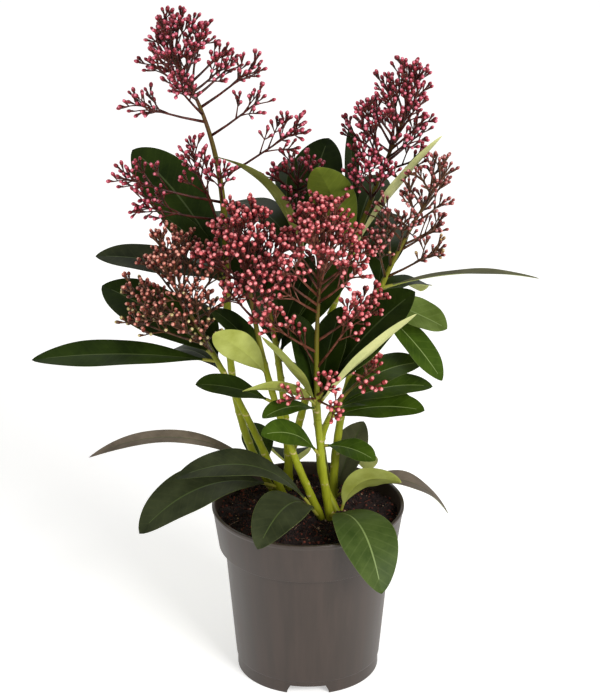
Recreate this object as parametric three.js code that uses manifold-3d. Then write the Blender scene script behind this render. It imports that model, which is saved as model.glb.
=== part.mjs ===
// A skimmia shrub in its nursery pot: nine shoots with a whorl of leaves and a head of flower buds
// each, low leaves on the stems, the root ball, and a moulded pot.
// Millimetres, +Z up, the front is -Y. The origin is the middle of the pot's flat underside.

import * as THREE from 'three';
import { mergeVertices } from 'three/addons/utils/BufferGeometryUtils.js';
import Module from 'manifold-3d';

const wasm = await Module();
wasm.setup();

// ---------------------------------------------------------------------------------------------
// Driving dimensions
// ---------------------------------------------------------------------------------------------

const GAP = 0.3; // between neighbouring solids

const POT_HEIGHT = 121;
const RIM_RADIUS = 65;
const COLLAR_RADIUS = 60.4;
const COLLAR_BOTTOM = 91.5;
const WALL_TOP_RADIUS = 56.4;
const WALL_FOOT_RADIUS = 49;
const WALL = 1.6;
const FOOT_RADIUS = 48.2;
const FOOT_HEIGHT = 6.2; // of the open space under the pot
const FOOT_BAND = 9; // the straight band round the foot, below the tapered wall
const PAD_RADIUS = 20; // the flat middle of the underside
const NOTCH_WIDTH = 24;
const NOTCH_DEPTH = 12; // across the foot ring, from inside it to outside
const NOTCHES = 3;
const DRAIN_RADIUS = 3;
const DRAIN_CIRCLE = 33;
const DRAINS = 6;
const DRAIN_SIDES = 8;
const POT_SIDES = 40;

const SOIL_TOP = 112;
const SOIL_SIDES = 20;
const SOIL_CLEARANCE = 0.4; // to the pot's wall and floor

const STEM_SIDES = 6;
const STEM_FOOT_RADIUS = 2.9;
const STEM_TOP_RADIUS = 2.1;
const AXIS_TIP_RADIUS = 1.0;
const WHORL_BELOW = 12; // a whorl's piece of stem reaches this far under its middle
const WHORL_ABOVE = 8;

const LEAF_THICKNESS = 1.2; // at the midrib
const PETIOLE = 1.3; // half its width
const PETIOLE_SHARE = 0.07; // of the leaf's length
const LEAF_CUP = 0.12; // the edges' rise, as a share of the half width
const BLADE_POWERS = [1.05, 0.75]; // how the blade's width grows from its foot and from its tip

const BRANCH_RADIUS = 1.0;
const BRANCH_SEGMENTS = 3;
const BRANCH_LIFT = 0.06; // how strongly each segment turns to the sky
const BRANCH_ROOT = 0.35; // of the first segment, which may stand close to the axis and leaves
const BARE_SHARE = 0.48; // of a branch, below its first branchlet
const LAST_SHARE = 0.97; // of a branch, where its last branchlet stands
const BRANCHLET_RADIUS = 0.65;
const BRANCHLET_EVERY = 7; // one branchlet for so many millimetres of branch
const BRANCHLET_LIFT = 0.22;
const BRANCHLET_LEAST = 4; // length, to which a share of the branch's length is added
const BRANCHLET_GROWTH = 0.26; // that share, less for a branchlet nearer to the branch's end
const BRANCHLET_TAPER = 1.35;
const WIDEST_OPENING = 46; // degrees between branchlet and branch, less towards the tip
const OPENING_LOSS = 14;
const KNOT_WIDTH = 10; // one knot of several buds
const KNOT_LENGTH = 10;
const KNOT_SPACING = 10; // least distance between two knots' middles in one head
const BUILT_EVERY = 2; // each second branch and branchlet is built, with larger knots for it
const SIDE_COUNT = 50; // the side branches' seeds count on from here
const UNEVENNESS = 0.12; // of the crown branches' lengths

const GOLDEN_ANGLE = 137.5;

// Each shoot: its foot on the soil, the middle of its whorl, the end of its flower head's axis.
// One that sways swings out to +X by that much, halfway up its head, and back below its whorl.
const SHOOTS = {
  front: { foot: [15, -5], whorl: [6, -12, 200], tip: [10, -20, 314] },
  mid_left: { foot: [9, -4], whorl: [-28, -15, 227], tip: [-41, -19, 314] },
  left: { foot: [-16, 25], whorl: [-60, 0, 225], tip: [-90, -9, 286] },
  tall: { foot: [-22, 30], whorl: [-54, 25, 277], tip: [-86, 12, 431], sway: 11 },
  middle: { foot: [-13, 42], whorl: [-21, 12, 228], tip: [-29, 2, 278] },
  upper: { foot: [-16, 50], whorl: [32, 40, 296], tip: [65, 29, 392] },
  low_right: { foot: [20, 4], whorl: [18, 5, 189], tip: [40, -3, 218] },
  right: { foot: [17, 13], whorl: [47, 20, 267], tip: [86, 12, 348] },
  back: { foot: [14, 34], whorl: [-5, 43, 290], tip: [-7, 42, 337] },
};

// Whorl leaves by shoot: [height of the foot, tip x, tip y, tip z, arch, width, roll in degrees].
// The arch is the midrib's height over its chord, as a share of the chord.
const WHORL_LEAVES = {
  tall: [
    [277, -118, 80, 345, 0.08, 37, -40],
    [274, -98, 30, 318, 0.06, 21, -30],
    [271, -141, 30, 288, 0.06, 27, -20],
    [275, -62, 105, 292, 0.12, 30, 0],
    [268, -90, 94, 254, 0.14, 30, 0],
  ],
  left: [
    [225, -183, 0, 226, 0.04, 25, -22],
    [228, -138, 40, 263, 0.05, 38, -25],
    [220, -95, 70, 240, 0.14, 30, 0],
    [216, -98, 58, 206, 0.12, 28, 0],
  ],
  mid_left: [
    [222, -61, -45, 264, 0.045, 22, 62],
    [222, -64, 2, 262, 0.1, 26, 0],
  ],
  front: [
    [198, 69, -50, 280, 0.03, 15, -20],
    [200, -30, -45, 262, 0.02, 24, -5],
    [198, -43, -42, 222, 0.12, 17, 40],
    [195, -30, -38, 201, 0.12, 18, -10],
    [192, 22, 6, 262, 0.05, 28, 0],
    [191, -10, 5, 258, 0.06, 26, 0],
    [201, 70, -3, 276, 0.06, 46, 20],
  ],
  low_right: [
    [187, 77, 15, 218, 0.13, 32, 10],
    [186, 70, 18, 190, 0.1, 28, 5],
    [181, 77, -15, 196, 0.08, 28, 15],
    [187, 83, 4, 205, 0.11, 28, 10],
  ],
  right: [
    [269, 153, 20, 276, 0.07, 20, -12],
    [267, 82, 50, 259, 0.1, 24, 0],
    [262, 92, 8, 245, 0.03, 30, 15],
    [258, 89, 0, 211, 0.05, 24, 15],
    [264, 58, 98, 284, 0.14, 30, 0],
    [258, 78, 96, 236, 0.12, 28, 0],
  ],
  upper: [
    [290, 5, 0, 361, 0.03, 29, 35],
    [289, 86, 5, 381, 0.03, 15, -10],
    [291, 28, 66, 368, 0.02, 10, 0],
    [290, 48, 95, 322, 0.1, 30, 0],
    [288, 62, 75, 300, 0.1, 28, 0],
    [287, 6, 110, 262, 0.12, 28, 0],
  ],
  back: [
    [281, -62, 8, 366, 0.14, 20, 10],
    [285, 14, 90, 350, 0.1, 36, 10],
    [284, -8, 130, 322, 0.14, 32, 0],
    [282, 10, 120, 300, 0.14, 30, 0],
    [280, -52, 112, 296, 0.14, 30, 0],
  ],
  middle: [
    [228, -48, 84, 280, 0.1, 32, 0],
    [224, -28, 75, 266, 0.1, 26, 0],
    [222, 30, 30, 284, 0.08, 30, 30],
    [224, -38, 46, 292, 0.04, 28, -20],
    [229, 4, 24, 291, 0.03, 28, 10],
    [221, 0, 18, 200, 0.12, 24, -25],
  ],
};

// Low leaves stand singly on the bare stems: the same sizes, after the shoot that bears them.
const LOW_LEAVES = {
  over_rim_front_right: ['front', 115, 48, -80, 94, 0.3, 40, 0],
  over_rim_front: ['mid_left', 115, -33, -73, 123, 0.26, 33, -12],
  arched_left: ['mid_left', 120, -88, -25, 151, 0.21, 31, -10],
  over_rim_left: ['left', 123, -113, -25, 110, 0.18, 40, -12],
  long_left: ['left', 132, -149, 20, 145, 0.175, 16, -10],
  curled_right: ['low_right', 113, 63, -2, 137, 0.27, 25, -55],
  over_rim_right: ['right', 119, 97, 28, 98, 0.24, 26, 0],
  upright_right: ['right', 119, 38, 38, 164, 0.06, 27, 0],
  small_right: ['low_right', 160, 45, -8, 156, 0.1, 20, 15],
  small_left: ['front', 163, -31, -36, 188, 0.14, 20, -40],
  level_left: ['mid_left', 202, -74, -22, 218, 0.07, 24, -15],
  upright_back: ['tall', 128, -38, 62, 152, 0.1, 22, 0],
  over_rim_back_right: ['back', 121, 42, 84, 104, 0.28, 30, 0],
  over_rim_back: ['upper', 121, -12, 94, 104, 0.28, 30, 0],
  over_rim_back_left: ['tall', 121, -58, 82, 106, 0.25, 30, 0],
};

// Flower heads: the crown's branches wind up the axis from the height `from`. Their length and
// their rise in degrees change from the first branch's to the last one's. The side branches
// below them are listed as [height, azimuth, rise, length].
const HEADS = {
  tall: {
    from: 400, branches: 18, length: [35, 25], rise: [20, 70], azimuth: 118, seed: 1,
    sides: [
      [396, 10, 30, 44], [391, 234, 40, 36], [386, 185, 10, 46], [376, 345, 34, 42],
      [346, 354, 30, 62], [329, 189, 11, 66], [316, 198, 10, 58], [326, 266, 46, 40],
      [302, 228, 63, 74],
    ],
  },
  upper: {
    from: 346, branches: 24, length: [28, 25], rise: [20, 76], azimuth: 334, seed: 6,
    sides: [
      [348, 215, 68, 44], [335, 235, 54, 34], [327, 240, 38, 32], [327, 290, 38, 38],
      [325, 266, 42, 48],
    ],
  },
  right: {
    from: 300, branches: 16, length: [28, 16], rise: [24, 62], azimuth: 0, seed: 7,
    sides: [
      [296, 0, 28, 30], [296, 279, 50, 38], [285, 265, 52, 44], [277, 258, 45, 48],
      [277, 343, 28, 42],
    ],
  },
  mid_left: {
    from: 282, branches: 16, length: [34, 24], rise: [34, 74], azimuth: 282, seed: 3,
    sides: [[285, 186, 32, 36], [265, 273, 45, 38], [262, 224, 45, 32]],
  },
  front: {
    from: 272, branches: 20, length: [42, 28], rise: [34, 78], azimuth: 177, seed: 5,
    sides: [
      [287, 16, 28, 42], [267, 204, 32, 30], [246, 8, 30, 46], [238, 209, 33, 50],
      [228, 153, 50, 24], [226, 333, 53, 54], [206, 286, 30, 26], [204, 230, 12, 26],
      [203, 241, -8, 24], [203, 300, 0, 22],
    ],
  },
  left: {
    from: 254, branches: 14, length: [44, 28], rise: [30, 76], azimuth: 201, seed: 2,
    sides: [
      [251, 180, 24, 50], [249, 268, 46, 40], [245, 293, 56, 32], [242, 212, 28, 50],
      [238, 192, 18, 52], [234, 233, 38, 50], [232, 258, 38, 34],
    ],
  },
  middle: {
    from: 268, branches: 7, length: [18, 15], rise: [10, 70], azimuth: 263, seed: 4, sides: [],
  },
  back: {
    from: 326, branches: 8, length: [20, 14], rise: [8, 64], azimuth: 257, seed: 8, sides: [],
  },
  low_right: {
    from: 212, branches: 5, length: [14, 9], rise: [0, 50], azimuth: 291, seed: 9, sides: [],
  },
};

// ---------------------------------------------------------------------------------------------
// Finishes
// ---------------------------------------------------------------------------------------------

function finish(color, roughness) {
  return new THREE.MeshStandardMaterial({ color, roughness, metalness: 0 });
}

const POT_PLASTIC = finish(0x5a4f4a, 0.6);
const PEAT = finish(0x2f211b, 0.95);
const GREEN_STEM = finish(0x86962c, 0.55);
const LEAF_GREEN = finish(0x2c4a22, 0.4);
const BUD_RED = finish(0xa8324a, 0.5);

// ---------------------------------------------------------------------------------------------
// Vectors, chance, skins and joins
// ---------------------------------------------------------------------------------------------

const UP = new THREE.Vector3(0, 0, 1);

function vector(x, y, z) {
  return new THREE.Vector3(x, y, z);
}

function along(start, direction, distance) {
  return start.clone().addScaledVector(direction, distance);
}

function heading(azimuth, rise) {
  const turn = THREE.MathUtils.degToRad(azimuth);
  const pitch = THREE.MathUtils.degToRad(rise);
  return vector(Math.cos(turn) * Math.cos(pitch), Math.sin(turn) * Math.cos(pitch), Math.sin(pitch));
}

// A level direction across another one.
function across(direction) {
  return new THREE.Vector3().crossVectors(direction, UP).normalize();
}

// A number from 0 to 1 that is always the same for the same seed and count.
function chance(seed, count) {
  const value = Math.sin(seed * 12.9898 + count * 78.233) * 43758.5453;
  return value - Math.floor(value);
}

// A closed skin through rings of points. Every ring has the same number of points, listed
// anticlockwise as seen from the far end, and a ring of one point is a tip. On a four-sided
// ring the diagonals start at its first and third point, which are a leaf's sharp edges.
function skin(rings) {
  const sides = Math.max(...rings.map((ring) => ring.length));
  const points = rings.flat();
  const starts = [];
  rings.reduce((start, ring) => {
    starts.push(start);
    return start + ring.length;
  }, 0);
  const at = (ring, side) => starts[ring] + (rings[ring].length > 1 ? side % sides : 0);
  const triangles = [];
  for (let ring = 0; ring < rings.length - 1; ring += 1) {
    for (let side = 0; side < sides; side += 1) {
      const a = at(ring, side);
      const b = at(ring, side + 1);
      const c = at(ring + 1, side + 1);
      const d = at(ring + 1, side);
      const pair = side % 2 === 0 ? [[a, b, c], [a, c, d]] : [[a, b, d], [b, c, d]];
      triangles.push(...pair.filter(([p, q, r]) => p !== q && q !== r && r !== p));
    }
  }
  const last = rings.length - 1;
  for (let side = 1; side < sides - 1; side += 1) {
    if (rings[0].length > 1) triangles.push([at(0, 0), at(0, side + 1), at(0, side)]);
    if (rings[last].length > 1) triangles.push([at(last, 0), at(last, side), at(last, side + 1)]);
  }
  const geometry = new THREE.BufferGeometry().setFromPoints(points);
  geometry.setIndex(triangles.flat());
  return geometry;
}

// A three.js geometry with its doubled points merged, and without the faces that this flattens.
function sharedVertices(geometry) {
  geometry.deleteAttribute('normal');
  geometry.deleteAttribute('uv');
  const shared = mergeVertices(geometry, 0.001);
  const kept = [];
  for (let i = 0; i < shared.index.count; i += 3) {
    const [a, b, c] = [shared.index.getX(i), shared.index.getX(i + 1), shared.index.getX(i + 2)];
    if (a !== b && b !== c && c !== a) kept.push(a, b, c);
  }
  shared.setIndex(kept);
  return shared;
}

function toSolid(geometry) {
  return new wasm.Manifold(new wasm.Mesh({
    numProp: 3,
    vertProperties: new Float32Array(geometry.attributes.position.array),
    triVerts: new Uint32Array(geometry.index.array),
  }));
}

function toGeometry(solid) {
  const mesh = solid.getMesh();
  const geometry = new THREE.BufferGeometry();
  geometry.setAttribute('position', new THREE.BufferAttribute(mesh.vertProperties, 3));
  geometry.setIndex(new THREE.BufferAttribute(mesh.triVerts, 1));
  geometry.computeVertexNormals();
  return geometry;
}

// Joins neighbours two by two, so that no join works on more than it has to.
function fuse(geometries) {
  let solids = geometries.map(toSolid);
  while (solids.length > 1) {
    const joined = [];
    for (let i = 0; i < solids.length; i += 2) {
      joined.push(i + 1 < solids.length ? solids[i].add(solids[i + 1]) : solids[i]);
    }
    solids = joined;
  }
  return toGeometry(solids[0]);
}

// ---------------------------------------------------------------------------------------------
// Space already taken, as balls, so that twigs and buds of one node keep out of the others
// ---------------------------------------------------------------------------------------------

const taken = [];

function claim(owner, center, radius) {
  taken.push({ owner, center, radius });
}

function claimLine(owner, start, end, radius) {
  const steps = Math.max(1, Math.ceil(start.distanceTo(end) / (2 * radius)));
  for (let i = 0; i <= steps; i += 1) {
    claim(owner, start.clone().lerp(end, i / steps), radius);
  }
}

function isClear(owner, start, end, radius) {
  const line = new THREE.Line3(start, end);
  const nearest = new THREE.Vector3();
  return taken.every((ball) => {
    if (ball.owner === owner) return true;
    line.closestPointToPoint(ball.center, true, nearest);
    return nearest.distanceTo(ball.center) > ball.radius + radius + GAP;
  });
}

// ---------------------------------------------------------------------------------------------
// Pot and root ball
// ---------------------------------------------------------------------------------------------

function turned(profile, sides) {
  const geometry = new THREE.LatheGeometry(profile.map(([r, z]) => new THREE.Vector2(r, z)), sides);
  geometry.rotateX(Math.PI / 2);
  return sharedVertices(geometry);
}

// The inner wall's radius at a height: parallel to the outer wall, below and above the step.
function potInside(z) {
  const stepTop = COLLAR_BOTTOM + WALL;
  if (z > stepTop) {
    const share = (z - COLLAR_BOTTOM) / (POT_HEIGHT - COLLAR_BOTTOM);
    return THREE.MathUtils.lerp(COLLAR_RADIUS, RIM_RADIUS, share) - WALL;
  }
  const share = (z - FOOT_HEIGHT) / (COLLAR_BOTTOM - FOOT_HEIGHT);
  return THREE.MathUtils.lerp(FOOT_RADIUS, WALL_TOP_RADIUS, share) - WALL;
}

function potGeometry() {
  const floorTop = FOOT_HEIGHT + WALL;
  const stepTop = COLLAR_BOTTOM + WALL;
  const profile = [
    [0, 0], [PAD_RADIUS, 0], [PAD_RADIUS + 1, FOOT_HEIGHT],
    [FOOT_RADIUS - WALL, FOOT_HEIGHT], [FOOT_RADIUS - WALL, 0], [FOOT_RADIUS, 0],
    [FOOT_RADIUS, FOOT_BAND], [WALL_FOOT_RADIUS, FOOT_BAND + 0.6],
    [WALL_TOP_RADIUS, COLLAR_BOTTOM], [COLLAR_RADIUS - 0.5, COLLAR_BOTTOM],
    [COLLAR_RADIUS + 0.15, COLLAR_BOTTOM + 1],
    [RIM_RADIUS - 0.5, POT_HEIGHT - 2.2], [RIM_RADIUS, POT_HEIGHT - 1.6],
    [RIM_RADIUS, POT_HEIGHT - 0.4], [RIM_RADIUS - 0.5, POT_HEIGHT],
    [RIM_RADIUS - WALL, POT_HEIGHT], [potInside(POT_HEIGHT - 2), POT_HEIGHT - 2],
    [potInside(stepTop + 0.1), stepTop + 0.1], [potInside(stepTop), stepTop - 0.6],
    [potInside(floorTop), floorTop + 1], [potInside(floorTop) - 1, floorTop], [0, floorTop],
  ];
  let pot = toSolid(turned(profile, POT_SIDES));
  for (let i = 0; i < NOTCHES; i += 1) {
    const notch = new THREE.BoxGeometry(NOTCH_DEPTH, NOTCH_WIDTH, 2 * FOOT_HEIGHT - 0.2);
    notch.translate(FOOT_RADIUS - 1, 0, 0);
    notch.rotateZ(-Math.PI / 2 + (i * 2 * Math.PI) / NOTCHES);
    pot = pot.subtract(toSolid(sharedVertices(notch)));
  }
  for (let i = 0; i < DRAINS; i += 1) {
    const through = 4 * FOOT_HEIGHT;
    const drain = new THREE.CylinderGeometry(DRAIN_RADIUS, DRAIN_RADIUS, through, DRAIN_SIDES);
    drain.rotateX(Math.PI / 2);
    drain.translate(DRAIN_CIRCLE, 0, FOOT_HEIGHT);
    drain.rotateZ(-Math.PI / 2 + (i * 2 * Math.PI) / DRAINS);
    pot = pot.subtract(toSolid(sharedVertices(drain)));
  }
  return toGeometry(pot);
}

function rootBallGeometry() {
  const bottom = FOOT_HEIGHT + WALL + SOIL_CLEARANCE;
  const stepTop = COLLAR_BOTTOM + WALL;
  const radius = (z) => potInside(z) - SOIL_CLEARANCE;
  const profile = [
    [0, bottom], [radius(bottom) - 1.2, bottom], [radius(bottom), bottom + 1.5],
    [radius(COLLAR_BOTTOM), stepTop + 0.2], [radius(stepTop + 1), stepTop + 1],
    [radius(SOIL_TOP - 1.5), SOIL_TOP - 1.5], [radius(SOIL_TOP) - 3.6, SOIL_TOP], [0, SOIL_TOP],
  ];
  return turned(profile, SOIL_SIDES);
}

// ---------------------------------------------------------------------------------------------
// Stems
// ---------------------------------------------------------------------------------------------

// A shoot's middle line is the parabola through its foot, whorl and tip, plus the cubic that is
// zero at all three and reaches the sway halfway from the whorl to the tip.
function onShoot(name, z) {
  const { foot, whorl, tip, sway = 0 } = SHOOTS[name];
  const [low, mid, high] = [SOIL_TOP, whorl[2], tip[2]];
  const a = ((z - mid) * (z - high)) / ((low - mid) * (low - high));
  const b = ((z - low) * (z - high)) / ((mid - low) * (mid - high));
  const c = ((z - low) * (z - mid)) / ((high - low) * (high - mid));
  const cubic = (height) => (height - low) * (height - mid) * (height - high);
  return vector(
    a * foot[0] + b * whorl[0] + c * tip[0] + (sway * cubic(z)) / cubic((mid + high) / 2),
    a * foot[1] + b * whorl[1] + c * tip[1],
    z,
  );
}

function shootRadius(name, z) {
  const { whorl, tip } = SHOOTS[name];
  if (z < whorl[2]) {
    const share = (z - SOIL_TOP) / (whorl[2] - SOIL_TOP);
    return THREE.MathUtils.lerp(STEM_FOOT_RADIUS, STEM_TOP_RADIUS, share);
  }
  const share = (z - whorl[2]) / (tip[2] - whorl[2]);
  return THREE.MathUtils.lerp(STEM_TOP_RADIUS, AXIS_TIP_RADIUS, share);
}

function levelRing(center, radius, sides) {
  return Array.from({ length: sides }, (_, i) => {
    const turn = (i * 2 * Math.PI) / sides;
    return vector(center.x + radius * Math.cos(turn), center.y + radius * Math.sin(turn), center.z);
  });
}

// How far a stem's section reaches in a level direction.
function stemReach(radius, direction) {
  const corners = levelRing(vector(0, 0, 0), radius, STEM_SIDES);
  return Math.max(...corners.map((corner) => corner.dot(direction)));
}

// One stretch of a shoot between two heights, with level cuts at both ends.
function shootPiece(name, owner, low, high, steps, sides) {
  const rings = [];
  for (let i = 0; i <= steps; i += 1) {
    const z = THREE.MathUtils.lerp(low, high, i / steps);
    rings.push(levelRing(onShoot(name, z), shootRadius(name, z), sides));
    claim(owner, onShoot(name, z), shootRadius(name, z));
  }
  claimLine(owner, onShoot(name, low), onShoot(name, high), shootRadius(name, low));
  return skin(rings);
}

// ---------------------------------------------------------------------------------------------
// Leaves
// ---------------------------------------------------------------------------------------------

// Half the width at a share of the length: a petiole, then a blade that is widest past its
// middle and closes in a point.
function leafHalfWidth(share, width) {
  const blade = (share - PETIOLE_SHARE) / (1 - PETIOLE_SHARE);
  if (blade <= 0) return PETIOLE;
  const [slow, quick] = BLADE_POWERS;
  const peak = slow / (slow + quick);
  const most = peak ** slow * (1 - peak) ** quick;
  return Math.max(PETIOLE, ((width / 2) * (blade ** slow * (1 - blade) ** quick)) / most);
}

// The midrib is a parabola from the foot to the tip. At a share of its length this gives the
// point, and the directions across the blade and out of its upper face.
function leafFrame(leaf, share) {
  const chord = leaf.tip.clone().sub(leaf.foot);
  const length = chord.length();
  const forward = chord.clone().normalize();
  const lift = along(UP, forward, -UP.dot(forward)).normalize();
  const middle = along(leaf.foot.clone().lerp(leaf.tip, 0.5), lift, 2 * leaf.arch * length);
  const curve = new THREE.QuadraticBezierCurve3(leaf.foot, middle, leaf.tip);
  const tangent = curve.getTangent(share);
  const level = vector(-chord.y, chord.x, 0).normalize();
  const side = along(level, tangent, -level.dot(tangent)).normalize();
  side.applyAxisAngle(tangent, THREE.MathUtils.degToRad(leaf.roll));
  const face = new THREE.Vector3().crossVectors(tangent, side);
  return { point: curve.getPoint(share), side, face, length };
}

const LEAF_STATIONS = [0, 0.09, 0.26, 0.48, 0.7, 0.9];

// A blade is four-sided all along: two sharp edges and a thick midrib.
function leafRing(leaf, share) {
  const { point, side, face, length } = leafFrame(leaf, share);
  const half = leafHalfWidth(share, leaf.width);
  const thick = Math.max(LEAF_THICKNESS, length / 90) / 2;
  const edge = share < PETIOLE_SHARE ? 0 : LEAF_CUP * half;
  return [
    along(along(point, side, half), face, edge), along(point, face, thick),
    along(along(point, side, -half), face, edge), along(point, face, -thick),
  ];
}

function leafGeometry(leaf) {
  return skin([...LEAF_STATIONS.map((share) => leafRing(leaf, share)), [leaf.tip]]);
}

function claimLeaf(owner, leaf) {
  const [steps, columns, radius] = [24, 4, 2.6];
  for (let i = 0; i <= steps; i += 1) {
    const { point, side } = leafFrame(leaf, i / steps);
    const half = leafHalfWidth(i / steps, leaf.width);
    for (let j = -columns; j <= columns; j += 1) {
      claim(owner, along(point, side, (half * j) / columns), radius);
    }
  }
}

// ---------------------------------------------------------------------------------------------
// Flower heads
// ---------------------------------------------------------------------------------------------

function roundRing(center, direction, radius, sides) {
  const first = across(direction);
  const second = new THREE.Vector3().crossVectors(direction, first);
  return Array.from({ length: sides }, (_, i) => {
    const turn = (i * 2 * Math.PI) / sides;
    return along(along(center, first, radius * Math.cos(turn)), second, radius * Math.sin(turn));
  });
}

function twig(path, startRadius, endRadius) {
  const last = path.length - 1;
  return skin(path.map((point, i) => {
    const direction = path[Math.min(i + 1, last)].clone().sub(path[Math.max(i - 1, 0)]).normalize();
    return roundRing(point, direction, THREE.MathUtils.lerp(startRadius, endRadius, i / last), 3);
  }));
}

function knotGeometry(base, direction) {
  const middle = along(base, direction, KNOT_LENGTH * 0.55);
  return skin([
    [along(base, direction, -1)], roundRing(middle, direction, KNOT_WIDTH / 2, 4),
    [along(base, direction, KNOT_LENGTH)],
  ]);
}

// A knot of buds, left out where it would crowd one that its own head has already.
function knot(owner, base, direction, pieces) {
  const center = along(base, direction, KNOT_LENGTH / 2);
  const crowded = taken.some((ball) => ball.owner === owner && ball.isKnot
    && ball.center.distanceTo(center) < KNOT_SPACING);
  if (crowded) return false;
  taken.push({ owner, center, radius: KNOT_WIDTH / 2 + 0.5, isKnot: true });
  pieces.push(knotGeometry(base, direction));
  return true;
}

// One branch of a head: it lifts as it grows, is bare on its first half, and then bears
// branchlets by the golden angle, each with a knot of buds at its end.
function branch(owner, start, direction, length, seed, pieces) {
  const path = [start];
  const step = direction.clone();
  for (let i = 0; i < BRANCH_SEGMENTS; i += 1) {
    step.addScaledVector(UP, BRANCH_LIFT).normalize();
    path.push(along(path[i], step, length / BRANCH_SEGMENTS));
  }
  const [, first, last, end] = path;
  const tipEnd = along(end, step, KNOT_LENGTH);
  const root = start.clone().lerp(first, BRANCH_ROOT);
  const free = isClear(owner, root, first, BRANCH_RADIUS)
    && isClear(owner, first, last, BRANCH_RADIUS)
    && isClear(owner, last, tipEnd, KNOT_WIDTH / 2);
  if (!free) return;
  claimLine(owner, start, end, BRANCH_RADIUS);
  pieces.push(twig([start, first, end], BRANCH_RADIUS, BRANCHLET_RADIUS));
  knot(owner, end, step, pieces);
  const count = Math.max(1, Math.round(length / BRANCHLET_EVERY));
  for (let j = 0; j < count; j += BUILT_EVERY) {
    const share = THREE.MathUtils.lerp(BARE_SHARE, LAST_SHARE, (j + 0.5) / count);
    const place = share * BRANCH_SEGMENTS;
    const index = Math.min(BRANCH_SEGMENTS - 1, Math.floor(place));
    const foot = path[index].clone().lerp(path[index + 1], place - index);
    const forward = path[index + 1].clone().sub(path[index]).normalize();
    const open = THREE.MathUtils.degToRad(WIDEST_OPENING - OPENING_LOSS * share);
    const spin = THREE.MathUtils.degToRad(GOLDEN_ANGLE * j + 360 * chance(seed, 9));
    const side = across(forward).applyAxisAngle(forward, spin);
    const outward = forward.clone().multiplyScalar(Math.cos(open));
    outward.addScaledVector(side, Math.sin(open)).addScaledVector(UP, BRANCHLET_LIFT).normalize();
    const reach = BRANCHLET_LEAST + BRANCHLET_GROWTH * length * (BRANCHLET_TAPER - share);
    const tip = along(foot, outward, reach);
    const clear = isClear(owner, foot, along(tip, outward, KNOT_LENGTH), KNOT_WIDTH / 2);
    if (clear && knot(owner, tip, outward, pieces)) {
      pieces.push(twig([foot, along(tip, outward, 1)], BRANCHLET_RADIUS, BRANCHLET_RADIUS * 0.8));
    }
  }
}

function headGeometry(name) {
  const { from, branches, length, rise, azimuth, seed, sides } = HEADS[name];
  const { whorl, tip } = SHOOTS[name];
  const owner = `flowers_${name}`;
  const low = whorl[2] + WHORL_ABOVE + GAP;
  const pieces = [shootPiece(name, owner, low, tip[2], 5, 5)];
  const grow = (z, turn, pitch, reach, count) => {
    branch(owner, onShoot(name, z), heading(turn, pitch), reach, seed * 7 + count, pieces);
  };
  sides.forEach(([z, turn, pitch, reach], i) => grow(z, turn, pitch, reach, SIDE_COUNT + i));
  for (let i = 0; i < branches; i += BUILT_EVERY) {
    const share = i / (branches - 1);
    const uneven = 1 + UNEVENNESS * (2 * chance(seed, i) - 1);
    const reach = THREE.MathUtils.lerp(...length, share) * uneven;
    const pitch = THREE.MathUtils.lerp(...rise, share);
    grow(THREE.MathUtils.lerp(from, tip[2] - 1, share), azimuth + GOLDEN_ANGLE * i, pitch, reach, i);
  }
  return fuse(pieces);
}

// ---------------------------------------------------------------------------------------------
// The plant
// ---------------------------------------------------------------------------------------------

const plant = new THREE.Group();

function add(name, geometry, material) {
  const mesh = new THREE.Mesh(geometry, material);
  mesh.name = name;
  plant.add(mesh);
}

add('pot', potGeometry(), POT_PLASTIC);
add('root_ball', rootBallGeometry(), PEAT);

for (const [name, { whorl }] of Object.entries(SHOOTS)) {
  const top = whorl[2] - WHORL_BELOW;
  const owner = `stem_${name}`;
  add(owner, shootPiece(name, owner, SOIL_TOP + GAP, top, 6, STEM_SIDES), GREEN_STEM);
}

for (const [name, rows] of Object.entries(WHORL_LEAVES)) {
  const owner = `leaves_${name}`;
  const middle = SHOOTS[name].whorl[2];
  const low = middle - WHORL_BELOW + GAP;
  const pieces = [shootPiece(name, owner, low, middle + WHORL_ABOVE, 2, STEM_SIDES)];
  for (const [z, x, y, height, arch, width, roll] of rows) {
    const leaf = { foot: onShoot(name, z), tip: vector(x, y, height), arch, width, roll };
    pieces.push(leafGeometry(leaf));
    claimLeaf(owner, leaf);
  }
  add(owner, fuse(pieces), LEAF_GREEN);
}

for (const [name, [shoot, z, x, y, height, arch, width, roll]] of Object.entries(LOW_LEAVES)) {
  const owner = `leaf_${name}`;
  const tip = vector(x, y, height);
  const stem = onShoot(shoot, z);
  const outward = vector(tip.x - stem.x, tip.y - stem.y, 0).normalize();
  const foot = along(stem, outward, stemReach(shootRadius(shoot, z), outward) + GAP);
  const leaf = { foot, tip, arch, width, roll };
  const sunk = leafRing(leaf, 0).map((corner) => foot.clone().sub(corner).dot(outward));
  foot.addScaledVector(outward, Math.max(...sunk));
  claimLeaf(owner, leaf);
  add(owner, leafGeometry(leaf), LEAF_GREEN);
}

for (const name of Object.keys(HEADS)) {
  add(`flowers_${name}`, headGeometry(name), BUD_RED);
}

export default plant;
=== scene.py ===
# %% [markdown]
# # A skimmia in its nursery pot
#
# A skimmia is a small evergreen shrub, sold in autumn and winter in a plastic pot, when each
# shoot ends in a whorl of leathery leaves and a head of closed red flower buds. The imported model
# holds its real size and plain solids, as a frame that nothing here moves. This notebook grows
# the same plant again by the same rules, with finer leaves, twigs and buds, and gives each part
# its finish.

import math

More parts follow.
